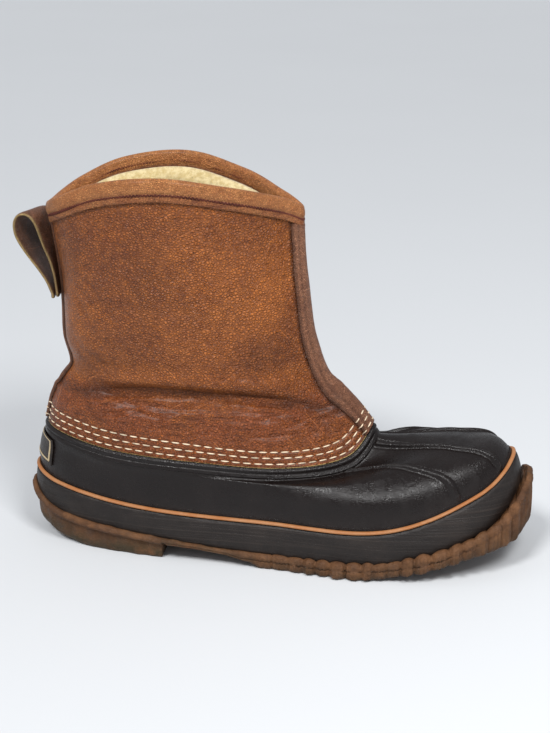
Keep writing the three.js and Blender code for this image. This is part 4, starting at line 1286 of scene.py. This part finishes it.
@dataclass
class Outsole:
    """The gum outsole: lip, heel block, arch and lobed forefoot."""

    half_columns: int = 620
    across: int = 40
    reach: float = 4.6
    toe_reach: float = 4.0
    heel_inset: float = 3.2
    breast: float = 25.0
    arch_end: float = 84.0
    lobes: int = 22
    lobe_rise: float = 2.9
    lip: float = 4.0
    groove_pitch: float = 14.5
    groove_depth: float = 2.6

    def tread(self, x: Array) -> Array:
        """Height of the tread's face at x."""
        at, height = zip(*TREAD)
        return np.interp(x + HEEL_MIDDLE, at, height)

    def under(self, x: Array) -> Array:
        """Height of the sole's underside, arch and all."""
        roof = np.interp(x, [self.breast + 3, 46.0, 64.0, 78.0, self.arch_end], [10.15, 9.1, 7.0, 3.5, 0.0])
        in_arch = smooth(x, self.breast - 0.6, self.breast + 0.8) * (x < self.arch_end)
        return np.maximum(self.tread(x), roof * in_arch)

    def _edge(self, side: Side, angle: Array) -> tuple[Array, Array, Array, Array]:
        """The lip's line on one side, its plan normal, its lobes and its run."""
        a = angle * (1 if side is Side.OUTER else -1)
        point = SKIN.point(a, np.full(a.shape, float(LIP)))
        ahead = SKIN.point(a + 0.01, np.full(a.shape, float(LIP)))
        behind = SKIN.point(a - 0.01, np.full(a.shape, float(LIP)))
        d = ahead - behind
        normal = np.stack([-d[:, 1], d[:, 0]], axis=1)
        normal /= np.linalg.norm(normal, axis=1, keepdims=True)
        flip = np.sign(normal[:, 1] * (1 if side is Side.INNER else -1) + 1e-9)
        normal[np.abs(point[:, 1]) > 3] *= flip[np.abs(point[:, 1]) > 3][:, None]
        normal[np.abs(point[:, 1]) <= 3] = [[math.copysign(1, c), 0] for c in np.cos(a[np.abs(point[:, 1]) <= 3])]
        run = np.concatenate([[0], np.cumsum(np.linalg.norm(np.diff(point, axis=0), axis=1))])
        lobed = np.interp(self.arch_end, point[::-1, 0], run[::-1])
        phase = run / (lobed / self.lobes)
        knob = np.abs(np.sin(math.pi * (phase + 0.42 * noise(point, 17, 2)))) ** 0.5
        knob *= 0.8 + 0.45 * noise(point, 8, 6)
        fade = smooth(lobed - run, 0, 12)
        return point, normal, (knob - 0.45) * self.lobe_rise * fade, run

    def build(self) -> None:
        """Builds the outsole."""
        n = self.half_columns
        angle = np.linspace(0, math.pi, n)
        x0 = SKIN.point(angle, np.full(n, float(LIP)))[:, 0]
        gap = np.exp(-((x0 - self.breast) / 4) ** 2) * 3 + 1
        speed = np.linalg.norm(np.diff(SKIN.point(angle, np.full(n, float(LIP))), axis=0), axis=1)
        weight = np.concatenate([[0], np.cumsum(speed * (gap[1:] + gap[:-1]) / 2)])
        angle = np.interp(np.linspace(0, weight[-1], n), weight, angle)
        sides = {}
        for side in Side:
            sides[side] = self._wall(side, angle)
        outer, inner = sides[Side.OUTER], sides[Side.INNER]
        rows = outer.shape[1]
        wall = np.concatenate([outer, inner[-2:0:-1]], axis=0)
        columns = len(wall)
        quads = [ring_quads(columns, rows, wrap_rows=False)]
        points = [wall.reshape(-1, 3)]
        quads += self._span(points, columns, rows, n, row=0, under=True)
        quads += self._span(points, columns, rows, n, row=rows - 1, under=False)
        every = np.concatenate(points)
        face = np.concatenate(quads)
        x, z = every[:, 0], every[:, 2]
        high = z - self.under(x)
        grime = np.clip(1.0 - high / 12, 0.05, 1) * np.where(x < self.breast, 1.35, 0.55)
        grime += 0.15 * noise(every, 14, 3)
        made = make("gum_outsole", every, face, GUM, "gum_rubber", {"grime": np.clip(grime, 0, 1)})
        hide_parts("outsole")
        LOG.info("outsole: %s, %d faces", made.name, len(made.data.polygons))

    def _wall(self, side: Side, angle: Array) -> Array:
        """The sole's side wall, columns by rows, from the tread up to the lip's inner edge."""
        point, normal, lobe, run = self._edge(side, angle)
        x, top = point[:, 0], point[:, 2]
        toe = self.toe_reach * np.clip(((x + HEEL_MIDDLE) / LENGTH - 0.75) / 0.2, 0, 1)
        block = np.clip((self.breast - x) / 4 + 1, 0, 1)
        inset = self.reach - self.heel_inset * block
        foot_z = self.under(x)
        lip_foot = np.maximum(top - self.lip, foot_z + 1.2)
        rough = noise(point, 5, 7) * 0.4 + noise(point, 2.2, 8) * 0.2
        lobed_part = smooth(x, self.arch_end - 8, self.arch_end + 4)
        rib = (0.3 * np.sin(run * 2 * math.pi / 2.6) + 0.25 * noise(point, 1.6, 14)) * lobed_part
        worn = (0.9 - 0.5 * lobe) * lobed_part
        rows = []
        for share, past, lobed in ((0.0, inset - 1.7, 0.55), (0.06, inset - 0.9, 0.8), (0.16, inset - 0.25, 1.0),
                                   (0.35, inset, 1.08), (0.6, inset + 0.1, 1.05), (0.85, inset, 1.0),
                                   (0.97, inset - 0.15, 0.95)):
            z = foot_z + (lip_foot - foot_z) * share + np.clip(worn, 0, None) * (0.05 < share < 0.5) * 0.8
            rows.append((past + toe + (lobe + rib) * lobed + rough, z))
        for share, past, lobed in ((-0.05, self.reach - 0.7 * block - 0.1, 0.9), (0.2, self.reach + 0.25, 0.9),
                                   (0.5, self.reach + 0.4, 0.85), (0.8, self.reach - 0.1, 0.7),
                                   (1.0, self.reach - 1.0, 0.5), (1.0, self.reach - 2.4, 0.2)):
            z = lip_foot + (top - lip_foot) * share
            rows.append((past + toe * (1 if share < 0.99 else 0.9) + (lobe + rib) * lobed + rough * 0.8, z))
        wall = np.empty((len(x), len(rows), 3))
        for k, (past, z) in enumerate(rows):
            wall[:, k, :2] = point[:, :2] + normal * past[:, None]
            wave = 0.5 * noise(point, 5, 11) + 0.9 * lobe * lobed_part
            wall[:, k, 2] = z + (wave if k >= 9 else 0)
        return wall

    def _span(self, points: list[Array], columns: int, rows: int, n: int, row: int, under: bool) -> list[Array]:
        """Closes the sole from side to side.

        Args:
            points: the mesh's points so far, added to.
            columns: columns of the side wall.
            rows: rows of the side wall.
            n: columns of one side.
            row: the wall's row that this face starts from.
            under: whether this is the tread.

        Returns:
            The face's quads.
        """
        wall = points[0].reshape(columns, rows, 3)
        left = np.arange(n)
        right = (columns - left) % columns
        t = np.linspace(0, 1, self.across)[1:-1]
        a, b = wall[left[1:-1], row], wall[right[1:-1], row]
        grid = a[:, None] + (b - a)[:, None] * t[None, :, None]
        if under:
            x, y = grid[..., 0], grid[..., 1]
            cut = np.zeros_like(x)
            for at in np.arange(self.arch_end + self.groove_pitch / 2, LENGTH - HEEL_MIDDLE - 8, self.groove_pitch):
                cut = np.maximum(cut, 1 - smooth(np.abs(x - at), 1.0, 1.9))
            for share in (0.3, 0.55, 0.8):
                at = 87 * share - HEEL_MIDDLE
                cut = np.maximum(cut, 1 - smooth(np.abs(x - at), 0.7, 1.5))
            cut *= (x > self.arch_end) | (x < self.breast - 1)
            grid[..., 2] = self.under(x) + self.groove_depth * cut
        else:
            skin_z = grid[..., 2]
            grid[..., 2] = skin_z - 2.0 * smooth(t, 0, 0.08)[None, :] * smooth(1 - t, 0, 0.08)[None, :]
        start = sum(len(p) for p in points)
        points.append(grid.reshape(-1, 3))
        index = np.empty((n - 2, self.across), int)
        index[:, 0] = left[1:-1] * rows + row
        index[:, -1] = right[1:-1] * rows + row
        index[:, 1:-1] = start + np.arange((n - 2) * (self.across - 2)).reshape(n - 2, -1)
        quads = np.stack([index[:-1, :-1], index[:-1, 1:], index[1:, 1:], index[1:, :-1]], axis=-1).reshape(-1, 4)
        if not under:
            quads = quads[:, ::-1]
        return [quads, self._fans(index, n, rows, row, under)]

    def _fans(self, index: Array, n: int, rows: int, row: int, under: bool) -> Array:
        """Quads that close the toe and the heel end, two steps of the line at a time."""
        out = []
        for line, tip, turn_ in ((index[0], 0, True), (index[-1], n - 1, False)):
            tip_i = tip * rows + row
            for k in range(0, self.across - 1, 2):
                c = line[min(k + 2, self.across - 1)]
                quad = [tip_i, line[k], line[k + 1], c]
                out.append(quad if turn_ == under else quad[::-1])
        return np.array(out)


# ---- Inside -----------------------------------------------------------------------------------


@dataclass
class Lining:
    """Fleece inside the shaft and the foot, and the footbed."""

    columns: int = 380
    rows: int = 186
    pile: float = 5.2

    def fleece(self) -> bpy.types.Object:
        """The lining, as a thick sheet with a curly face."""
        angle = turn(self.columns)
        levels = np.concatenate([np.linspace(1.2, SEAM, 36, endpoint=False),
                                 np.linspace(SEAM, COLLAR - 0.11, self.rows - 36)])
        a, l = np.meshgrid(angle, np.concatenate([levels, levels[::-5]]), indexing="ij")
        base = SKIN.point(a, l)
        curl = noise(base, 4.2, 1) * 0.75 + noise(base, 2.1, 2) * 0.45 + noise(base, 11, 3) * 0.5
        off = np.abs((a + math.pi) % (2 * math.pi) - math.pi)
        room = (0.55 + 0.45 * smooth(l, SEAM + 0.5, SEAM + 2.5)) * (0.35 + 0.65 * smooth(off, 0.25, 1.0))
        curl *= 0.5 + 0.5 * smooth(off, 0.25, 1.0)
        back = -LEATHER_WALL - 2.1 - 0.6 * smooth(STITCHING - l, -0.2, 0.4)
        tuck = smooth(l, COLLAR - 0.2, COLLAR - 0.11)
        face = back - (self.pile * room + curl * 1.3) * (1 - 0.55 * tuck)
        out = np.where(np.arange(a.shape[1])[None, :] < self.rows, face, back)
        inner = SKIN.at(a, l, out)
        shade = np.clip(smooth(COLLAR - 0.35 - l, 0, 3.5) * 0.7 + 0.2 * smooth(l, COLLAR - 0.2, COLLAR), 0, 1)
        made = make("shaft_fleece", inner, ring_quads(*a.shape), Fleece(), "fleece", {"shade": shade})
        return made

    def footbed(self) -> bpy.types.Object:
        """The footbed, fleece on top."""
        n, m = 150, 40
        angle = np.linspace(0.001, math.pi - 0.001, n)
        inset = -RUBBER_WALL - 1.3
        level = np.full(n, 0.2)
        a, b = SKIN.at(angle, level, np.full(n, inset)), SKIN.at(-angle, level, np.full(n, inset))
        lift = SKIN.point(angle, np.zeros(n))[:, 2]
        t = np.linspace(0, 1, m)
        top = a[:, None] + (b - a)[:, None] * t[None, :, None]
        bottom = top[:, ::-1].copy()
        crown = np.sin(math.pi * t) ** 0.3
        top[..., 2] = lift[:, None] + 3.6 + 0.5 * crown[None, :] + noise(top, 6, 1) * 0.5
        bottom[..., 2] = lift[:, None] + 0.6
        points = np.concatenate([top, bottom], axis=1)
        made = make("fleece_footbed", points, sweep_quads(n, 2 * m), Fleece("footbed_fleece"), "fleece",
                    {"shade": np.full((n, 2 * m), 0.55)})
        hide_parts("insole")
        return made

    def build(self) -> None:
        """Builds the lining and the footbed."""
        for made in (self.fleece(), self.footbed()):
            LOG.info("lining: %s, %d faces", made.name, len(made.data.polygons))


# ---- The studio -------------------------------------------------------------------------------


@dataclass
class Studio:
    """A pale floor, soft lights and the camera."""

    eye: tuple[float, float, float] = (205.9, -871.7, 410.54)
    pitch: float = 18.929
    yaw: float = 7.79
    lens: float = 77.14

    def camera(self) -> None:
        """Sets the camera at the photograph's angle."""
        data = bpy.data.cameras.new("camera")
        data.sensor_fit = "AUTO"
        data.sensor_width = 36.0
        data.lens = self.lens
        data.clip_start, data.clip_end = 0.01, 50
        made = bpy.data.objects.new("camera", data)
        bpy.context.scene.collection.objects.link(made)
        p, a = math.radians(self.pitch), math.radians(self.yaw)
        look = Vector((-math.sin(a) * math.cos(p), math.cos(a) * math.cos(p), -math.sin(p)))
        made.location = Vector(self.eye) * 0.001
        made.rotation_mode = "QUATERNION"
        made.rotation_quaternion = look.to_track_quat("-Z", "Y")
        bpy.context.scene.camera = made

    def floor(self) -> None:
        """A wide pale floor."""
        mesh = bpy.data.meshes.new("floor")
        mesh.from_pydata([(-6, -6, 0), (6, -6, 0), (6, 6, 0), (-6, 6, 0)], [], [(0, 1, 2, 3)])
        made = bpy.data.objects.new("floor", mesh)
        mesh.materials.append(PlainPaint("pale_floor", (0.63, 0.645, 0.66)).material())
        bpy.context.scene.collection.objects.link(made)

    def light(self, name: str, where: tuple[float, float, float], size: float, power: float,
              colour: Colour = (1, 1, 1)) -> None:
        """A soft square light that faces the boot.

        Args:
            name: the light's name.
            where: its place, in metres.
            size: its side, in metres.
            power: in watts.
            colour: its colour.
        """
        data = bpy.data.lights.new(name, "AREA")
        data.shape, data.size, data.energy, data.color = "SQUARE", size, power, colour
        made = bpy.data.objects.new(name, data)
        bpy.context.scene.collection.objects.link(made)
        made.location = where
        aim = Vector((0.09, 0, 0.1)) - Vector(where)
        made.rotation_mode = "QUATERNION"
        made.rotation_quaternion = aim.to_track_quat("-Z", "Y")

    def sun(self, name: str, where: tuple[float, float, float], power: float, spread: float) -> None:
        """An even light from one side.

        Args:
            name: the light's name.
            where: the direction that it comes from.
            power: in watts for a square metre.
            spread: how wide it looks, in degrees. A wide one has soft shadows.
        """
        data = bpy.data.lights.new(name, "SUN")
        data.energy, data.angle = power, math.radians(spread)
        made = bpy.data.objects.new(name, data)
        bpy.context.scene.collection.objects.link(made)
        made.rotation_mode = "QUATERNION"
        made.rotation_quaternion = Vector(where).to_track_quat("Z", "Y")

    def build(self) -> None:
        """Builds the studio."""
        self.camera()
        self.floor()
        self.sun("key", (-0.35, -0.75, 1.0), 1.95, 14)
        self.light("toe_glow", (0.5, -0.65, 0.95), 0.36, 9)
        world = bpy.data.worlds.new("studio_air")
        world.use_nodes = True
        world.node_tree.nodes["Background"].inputs["Color"].default_value = (0.92, 0.95, 1.0, 1)
        world.node_tree.nodes["Background"].inputs["Strength"].default_value = 0.52
        bpy.context.scene.world = world
        bpy.context.scene.view_settings.view_transform = "Standard"


def main() -> None:
    """Builds the boot and its studio."""
    logging.basicConfig(level=logging.INFO, format="%(name)s: %(message)s")
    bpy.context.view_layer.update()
    Studio().build()
    Outsole().build()
    RubberBottom().build()
    Shaft().build()
    PullLoop().build()
    Lining().build()


if __name__ == "__main__":
    main()
